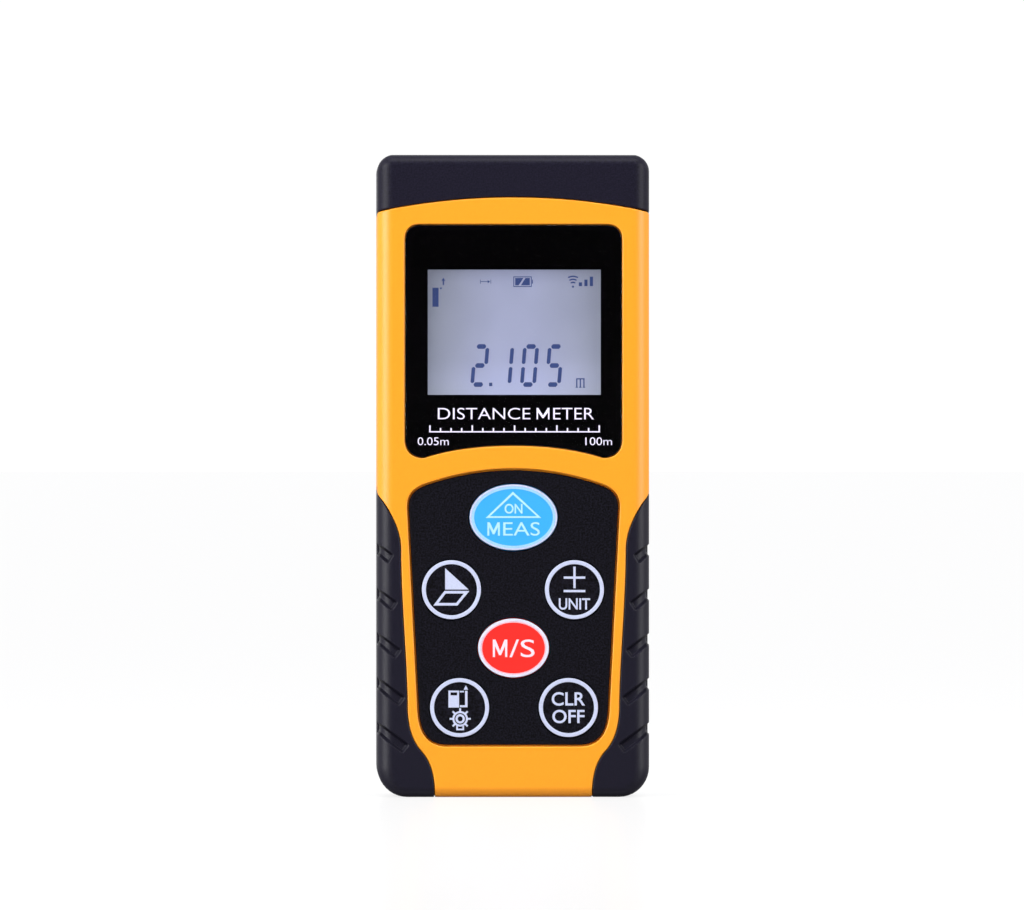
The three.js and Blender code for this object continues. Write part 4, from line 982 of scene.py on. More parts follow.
def rear_shell():
    made = Piece()
    scoop_y = HALF_DEPTH + 4.5
    scoop_top = SCOOP_Z + math.sqrt(SCOOP_RADIUS ** 2 - (scoop_y - HALF_DEPTH) ** 2)
    half, top, foot, r = DOOR_HALF_WIDTH + SEAM, DOOR_TOP_Z + SEAM, DOOR_LOW_Z - SEAM, DOOR_CORNER + 0.1
    right = arc((half - r, foot + r), r, -90, 0, 8) + arc((half - r, top - r), r, 0, 90, 8)
    right += line((SCOOP_HALF + 0.3, top)) + arc((SCOOP_HALF - 0.6, scoop_top - 0.6), 0.6, 0, 90, 4)
    opening = dense(right + mirrored(right), 0.7)
    wells = [ellipse(place, SCREW_WELL, 40) for place in SCREW_PLACES]
    label_half = LABEL_HALF_WIDTH + SEAM
    label_edge = rounded_box(-label_half, label_half, LABEL_LOW_Z - SEAM, LABEL_TOP_Z + SEAM, 2)
    label_pocket = (dense(label_edge, 0.7), 0.4, 0, [])
    made.skin(REAR, case_outline(REAR), holes=[opening] + wells[:2], dents=[label_pocket], bottom=SHELL,
              edge=CASE_EDGE)
    made.skin(REAR, lip(REAR), top=UNDER_GRIP, bottom=SHELL + 0.2, edge=0)
    for side, well in zip((-1, 1), wells[2:]):
        made.skin(REAR, ledge(REAR, side), holes=[well], top=UNDER_GRIP, bottom=SHELL + 0.1, edge=0)
    boss_y = HALF_DEPTH - SHELL + 0.3
    for x, z in SCREW_PLACES:
        made.turned((x, 0, z), Y, [
            (SCREW_WELL, boss_y), (SCREW_WELL, SCREW_WELL_FLOOR_Y), (SCREW_BORE, SCREW_WELL_FLOOR_Y),
            (SCREW_BORE, 0.2), (SCREW_BOSS, 0.2), (SCREW_BOSS, boss_y),
        ], 40)
    # The floor of the thumb scoop, as a bar of curved section behind the opening.
    back = HALF_DEPTH - SHELL - 0.6
    section = line((back, top - 0.1))
    section += line(*((scoop_y - math.sqrt(SCOOP_RADIUS ** 2 - (z - SCOOP_Z) ** 2), z)
                      for z in np.linspace(top - 0.1, scoop_top - 0.02, 14)))
    section += line((back, scoop_top + 0.6))
    made.skin(side_plane(SCOOP_HALF + 0.4), section, bottom=2 * SCOOP_HALF + 0.8, edge=0)
    # The ledge that the door lies on, with the slots that its hooks reach into.
    rim = line((BAY_HALF, BAY_LOW_Z), (BAY_HALF, BAY_TOP_Z), (-BAY_HALF, BAY_TOP_Z), (-BAY_HALF, BAY_LOW_Z))
    for x in (-9, 5):
        rim += line((x, BAY_LOW_Z), (x, SLOT_LOW_Z), (x + 4, SLOT_LOW_Z), (x + 4, BAY_LOW_Z))
    made.skin(rear_plane(LEDGE_Y), rounded_box(-14, 14, 8.4, 65.4, 1), holes=[rim], bottom=2.7, edge=0.15)
    # The bay that the cells lie in.
    bay, wall = rounded_box(-BAY_HALF, BAY_HALF, BAY_LOW_Z, BAY_TOP_Z, 0.3), 1.2
    outline = rounded_box(-BAY_HALF - wall, BAY_HALF + wall, BAY_LOW_Z - wall, BAY_TOP_Z + wall, 0.6)
    made.skin(rear_plane(LEDGE_Y - 2.65), outline, dents=[(bay, BAY_DEPTH, 0, [])],
              bottom=BAY_DEPTH + wall, edge=0)
    return made.finish("rear_shell_skin", "orange_plastic", "rear_shell")


NOTCH_SLOPE = 0.63
NOTCH_HALF_WIDTH = 1.0


def notch(index, side):
    """The outline of one finger notch, oblique on the front and level on the side."""
    z = 45.5 - 8.2 * index
    length = 2.1 + 0.85 * index
    inner_x = HALF_WIDTH - math.cos(NOTCH_SLOPE) * length
    path = [(FRONT.across_edge(x), z - (HALF_WIDTH - x) * math.tan(NOTCH_SLOPE))
            for x in np.linspace(inner_x, HALF_WIDTH - 0.35, 8)]
    end_u = FRONT.wall_point(1, 1, 0, HALF_DEPTH - 3.2, v=0)[0]
    bend_u = FRONT.wall_point(1, 1, 0, EDGE_RADIUS, v=0)[0]
    path.append((bend_u + 0.3, z - 0.05))
    path += [(u, z) for u in np.linspace(bend_u + 1.2, end_u, 5)]
    return band([(side * u, v) for u, v in path], NOTCH_HALF_WIDTH, 5, 0.45)


def grips():
    for side, name in ((-1, "left"), (1, "right")):
        made = Piece()
        dents = [(dense(notch(i, side), 0.4), 0.5, 0.42, []) for i in range(5)]
        made.skin(FRONT, grip_outline(FRONT, side), dents=dents, bottom=GRIP_THICKNESS, edge=GRIP_EDGE)
        node = "grip_front_" + name
        made.finish(node + "_pad", "grip_rubber", node)
        made = Piece()
        hole = ellipse(SCREW_PLACES[2 if side < 0 else 3], (SCREW_WELL + 0.1,) * 2, 40)
        made.skin(REAR, grip_outline(REAR, side), holes=[hole], bottom=GRIP_THICKNESS, edge=GRIP_EDGE)
        node = "grip_rear_" + name
        made.finish(node + "_pad", "grip_rubber", node)


OPTICS_LOW, OPTICS_HIGH = box("optics_window")
OPTICS_Y = middle("optics_window")[1]
RECEIVER_X = middle("receiver_lens")[0]
LASER_X = middle("laser_lens")[0]


def nose_cap():
    def drop(x, y):
        return HEIGHT - seam_z(x, y)

    made = Piece()
    outline = []
    flat_u, flat_v = HALF_WIDTH - EDGE_RADIUS, HALF_DEPTH - EDGE_RADIUS
    for side, end in ((1, 1), (-1, 1), (-1, -1), (1, -1)):
        corner = []
        for turn in np.linspace(0, 90, 14):
            x = side * (flat_u + EDGE_RADIUS * math.cos(math.radians(turn)))
            y = end * (flat_v + EDGE_RADIUS * math.sin(math.radians(turn)))
            corner.append(NOSE.wall_point(side, end, turn, drop(x, y)))
        if side * end < 0:
            corner.reverse()
        outline += corner
        if side == end:
            outline += [NOSE.wall_point(1, end, 90, drop(x, end * HALF_DEPTH), u=x)
                        for x in np.linspace(end * flat_u, -end * flat_u, 60)[1:-1]]
        else:
            outline += [NOSE.wall_point(side, 1, 0, drop(side * HALF_WIDTH, y), v=y)
                        for y in np.linspace(end * flat_v, -end * flat_v, 30)[1:-1]]
    eyes = [ellipse((RECEIVER_X, OPTICS_Y), 6.3), ellipse((LASER_X, OPTICS_Y), 2.6, 48)]
    pocket = rounded_box(-16.7, 16.7, OPTICS_Y - 7.2, OPTICS_Y + 7.2, 7.1, 20)
    made.skin(NOSE, dense(grown(outline, -SEAM / 2), 0.6), dents=[(dense(pocket, 0.8), 1.2, 0, eyes)],
              bottom=SHELL, edge=0.25)
    return made.finish("nose_cap_skin", "cap_plastic", "nose_cap")


front_shell()
rear_shell()
grips()
nose_cap()

# ---------------------------------------------------------------- window, display and print

WINDOW_LOW, WINDOW_HIGH = box("display_window")
WINDOW_LENS = 0.32
MASK_Y = WINDOW_LOW[1] + WINDOW_LENS + 0.03
PRINT_HEIGHT = 0.03


def window():
    outline = dense(window_outline(0), 0.8)
    lens = Piece().skin(front_plane(WINDOW_LOW[1]), outline, bottom=WINDOW_LENS, edge=0.15)
    lens.finish("window_lens", "window_clear", slot="window_black")
    view = rounded_box(-15.75, 16.05, VIEW_LOW_Z + 0.1, VIEW_TOP_Z - 0.2, 0.08, 2)
    mask = Piece().skin(front_plane(MASK_Y), outline, holes=[view], bottom=WINDOW_HIGH[1] - MASK_Y, edge=0)
    collar = rounded_box(-16.35, 16.35, 73.45, 97.45, 0.5)
    collar_depth = box("lcd_glass")[0][1] - 0.05 - WINDOW_HIGH[1]
    mask.skin(front_plane(WINDOW_HIGH[1] - 0.05), collar, holes=[view], bottom=collar_depth + 0.05, edge=0)
    mask.finish("window_mask", "window_black", "display_window")


def prints(name, loops, y, look, slot, body="housing", height=PRINT_HEIGHT):
    """Raised print: each item is an outline, or an outline with its holes."""
    made = Piece()
    for item in loops:
        outer, holes = item if isinstance(item, tuple) else (item, [])
        made.skin(front_plane(y - height), outer, holes=holes, bottom=height, edge=0)
    return made.finish(name, look, body=body, slot=slot)


def letters(text, u0, u1, v0, v1, weight=0.0):
    """The outlines of a word in the box u0..u1, v0..v1, its strokes weight wider on each side."""
    font = bpy.data.curves.new("letters", "FONT")
    font.body = text
    font.resolution_u = 5
    carrier = linked("letters", font)
    bpy.context.view_layer.update()
    mesh = bpy.data.meshes.new_from_object(carrier.evaluated_get(bpy.context.evaluated_depsgraph_get()))
    mesh.calc_loop_triangles()
    co = np.array([v.co[:2] for v in mesh.vertices])
    triangles = np.array([t.vertices[:] for t in mesh.loop_triangles])
    bpy.data.objects.remove(carrier)
    low, high = co.min(0), co.max(0)
    co = (co - low) / (high - low) * np.array((u1 - u0 - 2 * weight, v1 - v0 - 2 * weight))
    co += np.array((u0 + weight, v0 + weight))
    co, where = np.unique(np.round(co, 5), axis=0, return_inverse=True)
    triangles = wound(co, where.reshape(-1)[triangles])
    sides = {(int(t[i]), int(t[(i + 1) % 3])) for t in triangles for i in range(3)}
    following = {i: j for i, j in sorted(sides) if (j, i) not in sides}
    loops = []
    while following:
        start = min(following)
        chain = [start]
        while following.get(chain[-1], start) != start:
            chain.append(following.pop(chain[-1]))
        following.pop(chain[-1], None)
        if len(chain) > 2:
            loop = co[chain]
            loops.append(list(loop - leftward(loop) * weight))
    outers = [loop for loop in loops if area(loop) > 0]
    holes = [loop for loop in loops if area(loop) < 0]
    return [(outer, [hole for hole in holes if inside(np.array([hole[0]]), outer)[0]]) for outer in outers]


def block_m(u0, u1, v0, v1, stroke):
    """The letter M with upright stems."""
    centre, foot, inner = (u0 + u1) / 2, v0 + 0.12 * (v1 - v0), v1 - 0.42 * (v1 - v0)
    right = line((centre, foot + stroke * 1.9), (u1 - stroke * 1.25, v1), (u1, v1), (u1, v0),
                 (u1 - stroke, v0), (u1 - stroke, inner + stroke * 0.4),
                 (centre + stroke * 0.45, foot - 0.1 * stroke))
    left = [np.array((2 * centre - p[0], p[1])) for p in reversed(right)]
    return left[:-1] + right, []


def bar(u0, u1, v0, v1):
    return line((u0, v0), (u1, v0), (u1, v1), (u0, v1))


def frame_loop(outer, width):
    """An outline with the same outline moved inwards as its hole."""
    return outer, [grown(outer, -width)]


def window_print():
    low, high, thin = 69.4, 71.5, -0.025
    words = letters("DISTANCE", -13.9, 3.1, low, high, thin) + [block_m(4.25, 6.6, low, high, 0.24)]
    words += letters("ETER", 7.3, 14.8, low, high, thin)
    for text, u0, u1 in (("0.05m", -17.6, -11.9), ("100m", 13.2, 18.1)):
        words += letters(text, u0, u1, 64.65, 66.1, -0.01)
    prints("window_lettering", words, MASK_Y, "ink_window", "frame_white")
    base, line_top, half_tick, steps = 67.0, 67.22, 0.13, 16
    ticks = [bar(-15.5, 15.9, base, line_top)]
    for i in range(steps + 1):
        x = -15.35 + 31.1 * i / steps
        ticks.append(bar(x - half_tick, x + half_tick, line_top, 68.3 if i % 4 == 0 else 67.8))
    prints("window_scale", ticks, MASK_Y, "ink_window", "frame_white")


SEGMENTS = {"2": "abged", "1": "bc", "0": "abcdef", "5": "afgcd"}


def digit(character, x, z):
    """The lit segments of a leaning seven-segment digit centred at (x, z)."""
    lean = math.tan(math.radians(4.8))
    half_wide, half_high, gap = 1.13, 3.5, 0.2
    ends = {
        "a": ((-half_wide, half_high), (half_wide, half_high)),
        "b": ((half_wide, half_high), (half_wide, 0)),
        "c": ((half_wide, 0), (half_wide, -half_high)),
        "d": ((-half_wide, -half_high), (half_wide, -half_high)),
        "e": ((-half_wide, 0), (-half_wide, -half_high)),
        "f": ((-half_wide, half_high), (-half_wide, 0)),
        "g": ((-half_wide, 0), (half_wide, 0)),
    }
    result = []
    for segment in SEGMENTS[character]:
        a, b = (np.array(p) for p in ends[segment])
        ahead = (b - a) / np.linalg.norm(b - a)
        thick = 0.43 if segment in "adg" else 0.34
        aside = np.array((-ahead[1], ahead[0])) * thick
        a, b = a + ahead * gap, b - ahead * gap
        tip = ahead * thick * 0.8
        blunt = (ahead * 0.08, aside * 0.3)
        outline = [a + blunt[0] + blunt[1], a + blunt[0] - blunt[1], a + tip - aside, b - tip - aside,
                   b - blunt[0] - blunt[1], b - blunt[0] + blunt[1], b - tip + aside, a + tip + aside]
        result.append([np.array((x + p[0] + lean * p[1], z + p[1])) for p in outline])
    return result


def display():
    low, high = box("lcd_glass")
    outline = bar(low[0], high[0], low[2], high[2])
    panel = Piece().skin(front_plane(low[1]), outline, bottom=high[1] - low[1], edge=0.1)
    panel.finish("lcd_panel", "display_grey", "lcd_glass")
    marks = []
    for character, x in zip("2105", (-6.14, -1.57, 2.99, 7.56)):
        marks += digit(character, x, 79.3)
    marks.append(bar(-4.45, -3.85, 75.5, 76.15))
    # The letter m for metres: three stems with feet, joined along the top.
    for x, top in ((11.68, 76.95), (12.34, 76.75), (13.0, 76.75)):
        marks += [bar(x - 0.12, x + 0.12, 75.4, top), bar(x - 0.22, x + 0.22, 75.22, 75.4)]
    marks.append(bar(11.8, 13.12, 76.75, 76.97))
    # Along the top: arrow, reference mark, length arrow, battery, sound and signal bars.
    marks.append(line((-12.98, 94.1), (-12.72, 94.1), (-12.72, 94.9), (-12.45, 94.8), (-12.85, 95.45),
                      (-13.25, 94.8), (-12.98, 94.9)))
    marks += [bar(-14.86, -13.73, 90.1, 93.6), bar(-13.45, -13.15, 93.35, 93.65)]
    marks += [bar(-6.1, -6.0, 94.35, 95.1), bar(-4.17, -4.07, 94.35, 95.1), bar(-6.0, -4.7, 94.66, 94.78),
              line((-4.7, 94.42), (-4.25, 94.72), (-4.7, 95.02))]
    marks.append(frame_loop(bar(0.02, 3.4, 93.75, 95.68), 0.15))
    marks += [bar(3.45, 3.62, 94.35, 95.1), line((0.36, 94.05), (1.0, 94.05), (1.85, 95.4), (0.36, 95.4)),
              line((1.4, 94.05), (3.05, 94.05), (3.05, 95.4), (2.25, 95.4))]
    marks.append(ellipse((10.99, 93.8), (0.2, 0.2), 12))
    for radius in (0.75, 1.3, 1.85):
        marks.append(band(arc((10.99, 93.85), radius, 64, 116, 8), 0.13, 2))
    for i, top in enumerate((94.6, 95.1, 95.65)):
        marks.append(bar(12.07 + 1.01 * i, 12.65 + 1.01 * i, 93.91, top))
    prints("lcd_segments", marks, low[1], "ink_segment", "key_black", height=0.025)


window()
window_print()
display()


# ---------------------------------------------------------------- keypad


def keypad():
    low, high = box("keypad_panel")
    holes = [key_outline(key, SEAM) for key in KEYS.values()]
    plate = Piece().skin(front_plane(low[1]), dense(panel_outline(-0.16), 0.8), holes=holes,
                         bottom=high[1] - low[1], edge=0.3)
    plate.finish("keypad_plate", "keypad_black", "keypad_panel")


def shifted(key, loops):
    """Icon outlines moved from the key's centre to their place."""
    result = []
    for item in loops:
        outer, holes = item if isinstance(item, tuple) else (item, [])
        result.append((moved(list(outer), *key["centre"]), [moved(list(h), *key["centre"]) for h in holes]))
    return result


def legend(key, text, u0, u1, v0, v1, weight):
    cu, cv = key["centre"]
    if text == "M":
        return [block_m(cu + u0, cu + u1, cv + v0, cv + v1, weight)]
    return letters(text, cu + u0, cu + u1, cv + v0, cv + v1, weight)


GEAR_CENTRE = (0.1, -2.05)


def gear():
    """A ring with a tooth every 45 degrees, save at its foot."""
    body, tip, tooth, pitch = 1.42, 1.95, 5, 45
    outline = []
    for angle in range(0, 360, pitch):
        if angle != 270:
            outline += arc(GEAR_CENTRE, tip, angle - tooth, angle + tooth, 1)
        outline += arc(GEAR_CENTRE, body, angle + tooth + 2, angle + pitch - tooth - 2, 4)
    return outline, [ellipse(GEAR_CENTRE, (1.06, 1.06), 40)]


ICONS = {
    "area": [
        line((-1.16, 3.96), (-1.16, 0.05), (3.15, 0.05)),
        frame_loop(line((-3.35, -2.9), (1.09, -2.9), (3.3, -0.21), (-1.29, -0.21)), 0.48),
    ],
    "unit": [
        bar(-0.21, 0.21, 2.44, 4.24), bar(-0.21, 0.21, 0.29, 2.02), bar(-1.98, 1.98, 2.02, 2.44),
        bar(-1.98, 1.98, -0.45, -0.03),
    ],
    "measure": [frame_loop(line((-5.1, -0.11), (5.1, -0.11), (-0.1, 4.72)), 0.4)],
    "reference": [
        (bar(-2.06, -0.1, 0.02, 3.14), [bar(-1.67, -0.45, 2.26, 2.81)]),
        bar(0.03, 0.8, 2.81, 3.09), bar(1.0, 1.45, 0.45, 3.1), bar(0.03, 1.45, 0.07, 0.45),
        line((0.73, 3.3), (1.57, 3.3), (1.15, 4.1)),
        gear(),
        (ellipse(GEAR_CENTRE, (0.86, 0.86), 36), [ellipse(GEAR_CENTRE, (0.46, 0.46), 24)]),
        line((-0.62, -3.2), (-0.62, -4.15), (0.82, -4.15), (0.82, -3.2), (0.52, -3.2), (0.52, -3.85),
             (-0.32, -3.85), (-0.32, -3.2)),
    ],
}
# Each word: its text, the box that it fills, and how much wider its strokes are on each side.
WORDS = {
    "measure": [("ON", -1.65, 1.65, 0.67, 2.5, 0.045), ("M", -4.8, -2.5, -3.37, -0.9, 0.36),
                ("EAS", -1.9, 4.85, -3.37, -0.88, 0.0)],
    "unit": [("UNIT", -2.88, 2.88, -3.67, -1.56, 0.04)],
    "memory": [("M", -3.8, -1.15, -1.65, 1.55, 0.4), ("/S", -0.75, 3.88, -1.69, 1.57, 0.0)],
    "clear": [("CLR", -3.09, 3.0, 0.35, 2.85, 0.05), ("OFF", -2.97, 2.95, -2.87, -0.39, 0.05)],
}
RINGS = {
    "measure": [("ink_lavender", 0.42), ("ink_pale_blue", 0.4)],
    "memory": [("ink_bright", 0.55), ("ink_pink", 0.18)],
}
PLAIN_RING = [("ink_white", 0.74)]
RING_DEPTH = 0.45
INKS = {"measure": "ink_cyan", "memory": "ink_rose"}
COLOURS = {"measure": "key_blue", "memory": "key_red"}


def key_pieces(name):
    key = KEYS[name]
    body = name + "_key"
    look = COLOURS.get(name, "key_black")
    flange_y = box("front_shell")[0][1] + 2.4 + SEAM
    made = Piece()
    made.skin(front_plane(key["face"]), key_outline(key, -0.3), bottom=RING_DEPTH + 0.05, edge=0.04)
    made.skin(front_plane(key["face"] + RING_DEPTH), key_outline(key, 0),
              bottom=flange_y + 0.3 - key["face"] - RING_DEPTH, edge=0)
    made.skin(front_plane(flange_y), key_outline(key, KEY_FLANGE), bottom=0.7, edge=0.1)
    post = ellipse(key["centre"], (1.6, 1.6), 32)
    made.skin(front_plane(flange_y + 0.5), post, bottom=key["back"] - flange_y - 0.5, edge=0, back_edge=0.2)
    made.finish("key_%s_cap" % name, look, "key_" + name, body=body)
    ink = INKS.get(name, "ink_white")
    top = key["face"]
    inset = 0.0
    for i, (ring_look, width) in enumerate(RINGS.get(name, PLAIN_RING)):
        trim = Piece()
        trim.skin(front_plane(top - 0.05), key_outline(key, -inset), holes=[key_outline(key, -inset - width)],
                  bottom=RING_DEPTH if i == 0 else 0.05, edge=0.1 if i == 0 else 0)
        trim.finish("key_%s_ring_%d" % (name, i + 1), ring_look, body=body, slot="frame_white")
        inset += width
    if name in ICONS:
        prints("key_%s_icon" % name, shifted(key, ICONS[name]), top, ink, "frame_white", body)
    if name in WORDS:
        words = [outline for word in WORDS[name] for outline in legend(key, *word)]
        prints("key_%s_legend" % name, words, top, ink, "frame_white", body)


keypad()
for key_name in KEY_NAMES:
    key_pieces(key_name)

# ---------------------------------------------------------------- optics


def optics():
    outline = rounded_box(OPTICS_LOW[0], OPTICS_HIGH[0], OPTICS_LOW[1], OPTICS_HIGH[1], 6.9, 20)
    thick = OPTICS_HIGH[2] - OPTICS_LOW[2]
    glass = Piece().skin(top_plane(OPTICS_HIGH[2]), dense(outline, 0.9), bottom=thick, edge=0.15)
    glass.finish("optics_glass", "optics_tint", "optics_window", slot="window_black")

    def turned(name, node, look, x, profile_of, sides):
        """A piece turned about the axis at x. profile_of takes its outer radius and its length."""
        low, high = box(node)
        profile = profile_of((high[0] - low[0]) / 2, high[2] - low[2])
        Piece().turned((x, OPTICS_Y, low[2]), Z, profile, sides).finish(name, look, node)

    def lens(radius, thick):
        dome = 2.1
        edge = thick - dome
        sphere = (radius ** 2 + dome ** 2) / (2 * dome)
        reaches = [radius * math.cos(t) for t in np.linspace(0, math.pi / 2, 24)]
        return [(0, 0), (radius - 0.1, 0), (radius, 0.1)] + [
            (r, edge + dome - sphere + math.sqrt(sphere ** 2 - r ** 2)) for r in reaches]

    def ring(outer, thick):
        inner = 5.9
        return [(inner + 0.5, 0), (outer, 0), (outer, thick - 0.25), (outer - 0.25, thick),
                (inner + 0.5, thick), (inner, thick - 0.4), (inner, 0.2)]

    def barrel(outer, long):
        inner = 2.9
        return [(inner, 0), (outer, 0), (outer, long - 0.3), (outer - 0.3, long), (inner + 0.2, long),
                (inner, long - 0.2)]

    turned("receiver_lens_glass", "receiver_lens", "lens_glass", RECEIVER_X, lens, 72)
    turned("lens_ring_turned", "lens_ring", "cap_plastic", RECEIVER_X, ring, 72)
    turned("laser_barrel_turned", "laser_barrel", "brass", LASER_X, barrel, 56)


# ---------------------------------------------------------------- battery door, label, screws, cells


def battery_door():
    low, high = box("battery_door")
    half, face, top, foot, r = *high, DOOR_LOW_Z, DOOR_CORNER
    slit, slit_half, slit_foot = 4.6, 0.3, top - 7.5
    made = Piece()
    right = arc((half - r, foot + r), r, -90, 0, 8) + arc((half - r, top - r), r, 0, 90, 8)
    right += line((slit + slit_half, top)) + arc((slit, slit_foot + slit_half), slit_half, 0, -180, 8)
    right += line((slit - slit_half, top))
    ribs = [(dense(rounded_box(-3.4, 3.4, z - 0.35, z + 0.35, 0.3, 4), 0.5), 0.3, 0, [])
            for z in (top - 2, top - 3.5, top - 5)]
    made.skin(rear_plane(face), dense(right + mirrored(right), 0.6), dents=ribs, bottom=face - DOOR_BACK_Y,
              edge=0.12)
    root = DOOR_BACK_Y + 0.2
    hook = line((root, foot + 0.1), (root, foot + 1.3), (9.9, foot + 1.3), (9.9, low[2]), (10.9, low[2]),
                (10.9, foot + 0.1))
    for x in (-7, 7):
        made.skin(side_plane(x + 1.6), hook, bottom=3.2, edge=0.12, back_edge=0.12)
    latch = line((root, 61.3), (root, 62.6), (11.0, 62.5), (10.7, 62.1), (10.7, 61.7), (11.0, 61.35))
    made.skin(side_plane(3), latch, bottom=6, edge=0)
    made.finish("battery_door_plate", "cap_plastic", "battery_door", body="door")

    low, high = box("door_pad")
    outline = dense(rounded_box(low[0], high[0], low[2], high[2], 0.8), 1.5)
    pad = Piece().skin(front_plane(low[1]), outline, bottom=high[1] - low[1], edge=0.25)
    pad.finish("door_foam", "foam", "door_pad", body="door")


def label():
    low, high = box("rear_label")
    plate = rounded_box(low[0], high[0], low[2], high[2], 1.9)
    made = Piece().skin(rear_plane(high[1]), dense(plate, 1), bottom=high[1] - low[1], edge=0.06)
    made.finish("label_plate", "label_silver", "rear_label")
    outer = grown(plate, -1.1)
    border = Piece().skin(rear_plane(high[1] + 0.03), outer, holes=[grown(outer, -0.25)], bottom=0.03, edge=0)
    border.finish("label_border", "key_black")


def case_screws():
    shank, root, pitch_count, point = 0.85, 0.62, 14, 0.9
    for node, (x, z) in zip(SCREWS, SCREW_PLACES):
        low, high = box(node)
        made = Piece()
        head, seat, tip = (high[0] - low[0]) / 2, SCREW_WELL_FLOOR_Y + 0.2, low[1]
        arm, wide = head * 0.62, 0.28
        cross = line((wide, wide), (wide, arm), (-wide, arm), (-wide, wide), (-arm, wide), (-arm, -wide),
                     (-wide, -wide), (-wide, -arm), (wide, -arm), (wide, -wide), (arm, -wide), (arm, wide))
        socket = (moved(cross, x, z), 0.75, 0.05, [])
        made.skin(rear_plane(high[1]), ellipse((x, z), head, 48), dents=[socket],
                  bottom=high[1] - seat, edge=0.08)
        profile = [(0, tip), (0.3, tip), (0.55, tip + point)]
        for k in range(pitch_count):
            at = tip + point + (seat - tip - 1.0) * k / pitch_count
            profile += [(shank, at + 0.25), (root, at + 0.7)]
        profile += [(root, seat + 0.05), (0, seat + 0.05)]
        made.turned((x, 0, z), Y, profile, 24)
        made.finish(node + "_threaded", "steel", node)


def cells():
    for side, upward in (("left", 1), ("right", -1)):
        node = "battery_" + side
        low, high = box(node)
        x, y, _ = middle(node)
        radius, length = (high[0] - low[0]) / 2, high[2] - low[2]
        start = low[2] if upward > 0 else high[2]
        jacket = [(0, 0.25), (3.9, 0.25), (4.0, 0), (radius - 0.3, 0), (radius, 0.3), (radius, length - 1.5),
                  (radius - 0.4, length - 1.1), (3.4, length - 1.0), (3.3, length - 1.15), (0, length - 1.15)]
        nub = [(0, length - 1.2), (2.1, length - 1.2), (1.9, length - 0.9), (1.9, length - 0.2),
               (1.7, length), (0, length)]
        base = [(0, 0.05), (3.85, 0.05), (3.85, 0.4), (0, 0.4)]
        for name, profiles, look, nodes in (("jacket", [jacket], "cell_jacket", [node]),
                                            ("caps", [nub, base], "steel", [])):
            made = Piece()
            for profile in profiles:
                made.turned((x, y, start), Z * upward, profile, 56)
            made.finish("%s_%s" % (node, name), look, *nodes)


def springs():
    """Two conical coils of round wire, each with its wide end on the case."""
    wire, turns, sides, steps = 0.35, 3.5, 10, 150
    around = np.linspace(0, 2 * math.pi, sides, endpoint=False)
    for side, low_radius, high_radius in (("left", 3.2, 2.2), ("right", 2.2, 3.2)):
        node = "battery_spring_" + side
        low, high = box(node)
        x, y, _ = middle("battery_" + side)
        z0, z1 = low[2] + wire + 0.02, high[2] - wire - 0.02
        rings = []
        made = Piece()
        for t in np.arange(steps + 1) / steps:
            angle = 2 * math.pi * turns * t
            out = math.cos(angle) * X + math.sin(angle) * Y
            radius = low_radius + (high_radius - low_radius) * t
            centre = np.array((x, y, z0 + (z1 - z0) * t)) + radius * out
            spokes = np.cos(around)[:, None] * out + np.sin(around)[:, None] * Z
            rings.append((made.add_points(centre + wire * spokes), spokes))
        for (i0, n0), (i1, n1) in zip(rings, rings[1:]):
            j0, j1 = np.roll(i0, -1), np.roll(i1, -1)
            m0, m1 = np.roll(n0, -1, axis=0), np.roll(n1, -1, axis=0)
            made.add_faces(np.stack((i0, j0, j1), 1), np.stack((n0, m0, m1), 1), True)
            made.add_faces(np.stack((i0, j1, i1), 1), np.stack((n0, m1, n1), 1), True)
        for (index, spokes), flip in ((rings[0], False), (rings[-1], True)):
            fan = np.array([(index[0], index[k], index[k + 1]) for k in range(1, sides - 1)])
            normal = np.cross(spokes[0], spokes[2])
            normal = normal / np.linalg.norm(normal) * (-1 if flip else 1)
            made.add_faces(fan, np.tile(normal, (len(fan), 3, 1)), flip)
        made.finish(node + "_coil", "steel", node)


optics()
battery_door()
label()
case_screws()
cells()
springs()

# ---------------------------------------------------------------- carried-over nodes

SLOT_OF = {part["node"]: part["material_slot"] for part in frame["record"]["subparts"]}
for node_name, node_object in frame["nodes"].items():
    if not node_object.hide_render:
        node_object.data.materials.clear()
        node_object.data.materials.append(LOOKS[SLOT_OF[node_name]].material)

# ---------------------------------------------------------------- floor, light and camera

FLOOR_REACH = 40.0
FLOOR_Z = -2e-5


def floor():
    """A white floor with a soft reflection, which throws less light up at the meter than it shows."""
    mesh = bpy.data.meshes.new("floor")
    mesh.from_pydata([(x, y, FLOOR_Z) for x, y in bar(-FLOOR_REACH, FLOOR_REACH, -FLOOR_REACH, FLOOR_REACH)],
                     [], [(0, 1, 2, 3)])
    material = bpy.data.materials.new("floor")
    nodes = Nodes(material)
    nodes.tree.nodes.clear()
    seen = nodes.add("LightPath").outputs["Is Camera Ray"]
    strength = nodes.add("MapRange", {"Value": seen, "To Min": 0.15, "To Max": 0.95}).outputs["Result"]
    diffuse = nodes.add("BsdfDiffuse", {"Color": (0.12, 0.12, 0.12, 1)}).outputs[0]
    glow = nodes.add("Emission", {"Color": (1, 1, 1, 1), "Strength": strength}).outputs[0]
    both = nodes.add("AddShader", {0: diffuse, 1: glow}).outputs[0]
    gloss = nodes.add("BsdfGlossy", {"Roughness": 0.18}).outputs[0]
    surface = nodes.add("MixShader", {"Fac": 0.17, 1: both, 2: gloss}).outputs[0]
    nodes.add("OutputMaterial", {"Surface": surface})
    mesh.materials.append(material)
    linked("floor", mesh)


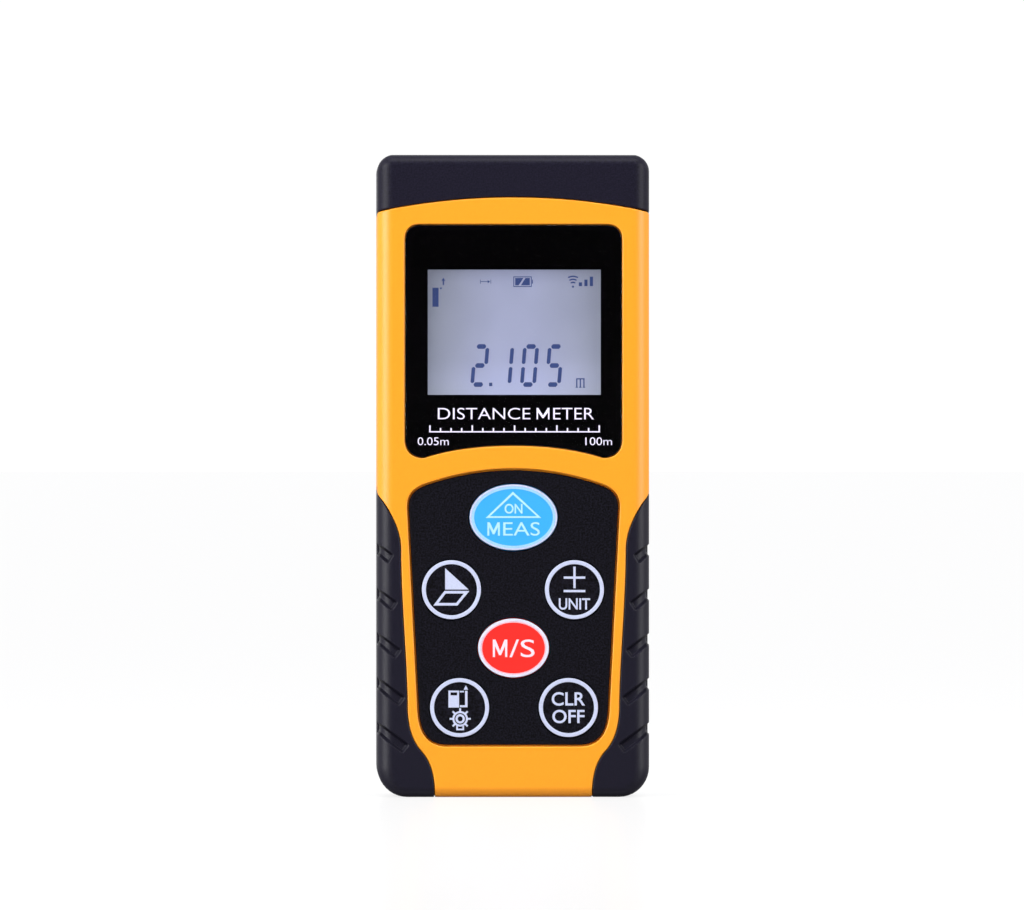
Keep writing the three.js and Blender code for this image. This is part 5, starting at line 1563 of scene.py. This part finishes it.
def world():
    """Even white light from all round, with a dark card in front for the gloss to reflect."""
    made = bpy.data.worlds.new("studio")
    bpy.context.scene.world = made
    nodes = Nodes(made)
    nodes.tree.nodes.clear()
    direction = nodes.add("TexCoord").outputs["Generated"]
    facing = nodes.add("VectorMath", {0: direction, 1: (0, -1, 0)}, operation="DOT_PRODUCT").outputs["Value"]
    inputs = {"Value": facing, "From Min": 0.42, "From Max": 0.88, "To Min": 0.9, "To Max": 0.015}
    card = nodes.add("MapRange", inputs, interpolation_type="SMOOTHSTEP").outputs["Result"]
    light = nodes.add("Background", {"Color": (0.98, 0.98, 1.0, 1), "Strength": card}).outputs[0]
    shown = nodes.add("Background", {"Color": (1, 1, 1, 1), "Strength": 1.02}).outputs[0]
    seen = nodes.add("LightPath").outputs["Is Camera Ray"]
    surface = nodes.add("MixShader", {"Fac": seen, 1: light, 2: shown}).outputs[0]
    nodes.add("OutputWorld", {"Surface": surface})


def softbox(name, place, size, power):
    """A rectangular light that faces the middle of the meter."""
    data = bpy.data.lights.new(name, "AREA")
    data.shape = "RECTANGLE"
    data.size, data.size_y = size
    data.energy = power
    lamp = linked(name, data)
    lamp.location = place
    aim = Vector((0, 0, HEIGHT * MM / 2)) - Vector(place)
    lamp.rotation_euler = aim.to_track_quat("-Z", "Y").to_euler()
    lamp.visible_camera = False


CAMERA_DISTANCE = 2.103
CAMERA_AZIMUTH = math.radians(-1.2)
AIM_Z = 0.06285


def camera():
    data = bpy.data.cameras.new("camera")
    data.lens = 400
    data.sensor_width = 36
    data.clip_end = 100
    made = linked("camera", data)
    aside, ahead = math.sin(CAMERA_AZIMUTH), math.cos(CAMERA_AZIMUTH)
    made.location = (CAMERA_DISTANCE * aside, -CAMERA_DISTANCE * ahead, AIM_Z)
    made.rotation_euler = (math.pi / 2, 0, CAMERA_AZIMUTH)
    bpy.context.scene.camera = made


floor()
world()
softbox("left_softbox", (-0.66, -0.36, 0.2), (0.5, 0.6), 7.4)
softbox("right_softbox", (0.66, -0.36, 0.16), (0.45, 0.6), 4.6)
softbox("top_softbox", (0.0, -0.3, 0.75), (0.7, 0.3), 3.0)
camera()
bpy.context.scene.view_settings.view_transform = "Standard"
